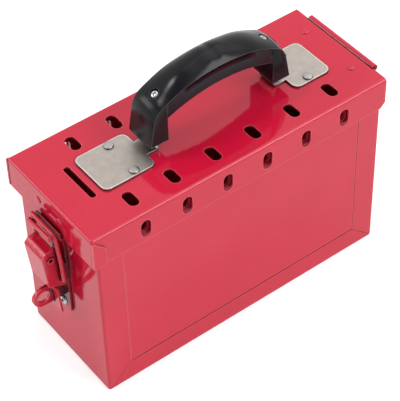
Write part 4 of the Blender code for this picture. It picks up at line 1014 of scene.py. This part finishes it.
# a closed slab with the slots through it, its middle raised by rise, on a floor level
def slab(tree, slots, width, height, thickness, rise, floor):
    feeds = {"Width": width, "Height": height}
    outline = put(tree, "GeometryNodeCurvePrimitiveQuadrilateral", feeds).outputs[0]
    outlines = joined(tree, moved(tree, outline, Y=rise), slots)
    flat = put(tree, "GeometryNodeFillCurve", {0: outlines}, mode="NGONS").outputs[0]
    raised = put(tree, "GeometryNodeExtrudeMesh", {
        "Mesh": flat, "Offset Scale": thickness, "Individual": False,
    }, mode="FACES").outputs["Mesh"]
    underside = put(tree, "GeometryNodeFlipFaces", {0: flat}).outputs[0]
    closed = welded(tree, joined(tree, raised, underside), panelPlace["weld"])
    return moved(tree, closed, Z=floor)


def panelTree(finish):
    tree, given = openTree("slottedSheet", slottedPanel)
    slots = slotRow(tree, given)
    sheet = slab(tree, slots, given["Width"], given["Height"], given["Sheet"], 0.0, 0.0)
    field = slab(
        tree, slots, given["Field Width"], given["Field Height"], given["Field Lift"],
        given["Field Rise"], given["Sheet"],
    )
    upright = moved(tree, joined(tree, sheet, field), (math.pi / 2, 0, 0))
    return closeTree(tree, upright, finish)


slottedSheet = panelTree("redPaint")
for nodeName, side in (("front_panel", -1), ("back_panel", 1)):
    panel = addPiece(nodeName + "Pressed", bpy.data.meshes.new(nodeName + "Pressed"))
    grow(panel, slottedSheet, slottedPanel)
    softenEdges(panel, panelPlace["rounding"], panelPlace["roundingSteps"])
    settle(panel)
    place = Matrix.Translation((0, side * panelPlace["insideY"], panelPlace["middleZ"]))
    facing = Matrix.Rotation(0 if side < 0 else math.pi, 4, "Z")
    panel.data.transform(place @ facing)
    fit(panel, [nodeName])
print("lockout box: slotted panels pressed")

studio = {
    "floorSize": 6,
    "floorTone": (0.9, 0.9, 0.9),
    "floorRoughness": 0.9,
    "floorGlow": 0.44,
    "floorSheen": 0.1,  # what mirror rays add to the floor, less than what the camera sees
    "worldStrength": 0.56,
    "dimSide": (-0.36, -0.1, 0.93),  # the dark part of the ceiling, which the grip mirrors
    "dimStrength": 0.3,
    "dimSpan": (0.72, 0.93),
    "aim": (0, 0, 0.08),
    "lamps": (
        {"name": "keyPanel", "place": (1.1, -1.95, 1.75), "size": 1.4, "power": 34},
        {"name": "topPanel", "place": (1.0, 0.2, 2.4), "size": 2.2, "power": 12},
        {"name": "crownPanel", "place": (-0.77, 0.64, 2.05), "size": 0.42, "power": 8},
        {"name": "endPanel", "place": (-1.4, 1.23, 0.9), "size": 0.8, "power": 7},
    ),
}


# how brightly a backdrop looks to the camera, in mirrors, and to what it lights
def seenAs(tree, direct, mirrored, lighting):
    path = put(tree, "ShaderNodeLightPath").outputs
    isSeen = calc(tree, "MAXIMUM", path["Is Camera Ray"], path["Is Glossy Ray"])
    byCamera = calc(tree, "MULTIPLY", path["Is Camera Ray"], direct)
    byMirror = calc(tree, "MULTIPLY", path["Is Glossy Ray"], mirrored)
    byRest = calc(tree, "MULTIPLY", calc(tree, "SUBTRACT", 1.0, isSeen), lighting)
    return calc(tree, "ADD", calc(tree, "MAXIMUM", byCamera, byMirror), byRest)


def layFloor(look):
    mesh = bpy.data.meshes.new("studioFloor")
    half = look["floorSize"] / 2
    corners = [(-half, -half, 0), (half, -half, 0), (half, half, 0), (-half, half, 0)]
    mesh.from_pydata(corners, [], [(0, 1, 2, 3)])
    material, tree, shader = newMaterial("studioFloor")
    shader.inputs["Base Color"].default_value = (*look["floorTone"], 1)
    shader.inputs["Roughness"].default_value = look["floorRoughness"]
    shader.inputs["Emission Color"].default_value = (1, 1, 1, 1)
    glow = seenAs(tree, look["floorGlow"], look["floorSheen"], 0.0)
    tree.links.new(glow, shader.inputs["Emission Strength"])
    mesh.materials.append(material)
    floor = addPiece("studioFloor", mesh)


def lightWorld(look):
    world = bpy.data.worlds.new("studioWorld")
    world.use_nodes = True
    bpy.context.scene.world = world
    tree = world.node_tree
    backdrop = tree.nodes["Background"]
    backdrop.inputs["Color"].default_value = (1, 1, 1, 1)
    way = put(tree, "ShaderNodeTexCoord").outputs["Generated"]
    feeds = {0: way, 1: look["dimSide"]}
    towards = put(tree, "ShaderNodeVectorMath", feeds, operation="DOT_PRODUCT").outputs["Value"]
    mirrored = spread(tree, towards, 1, look["dimStrength"], *look["dimSpan"])
    strength = seenAs(tree, 1.0, mirrored, look["worldStrength"])
    tree.links.new(strength, backdrop.inputs["Strength"])


def hangLamps(look):
    for lamp in look["lamps"]:
        light = bpy.data.lights.new(lamp["name"], "AREA")
        light.shape = "SQUARE"
        light.size = lamp["size"]
        light.energy = lamp["power"]
        panel = bpy.data.objects.new(lamp["name"], light)
        bpy.context.scene.collection.objects.link(panel)
        panel.location = lamp["place"]
        towards = Vector(look["aim"]) - Vector(lamp["place"])
        panel.rotation_euler = towards.to_track_quat("-Z", "Y").to_euler()


layFloor(studio)
lightWorld(studio)
hangLamps(studio)
bpy.context.scene.view_settings.view_transform = "Standard"
print("lockout box: studio lit")
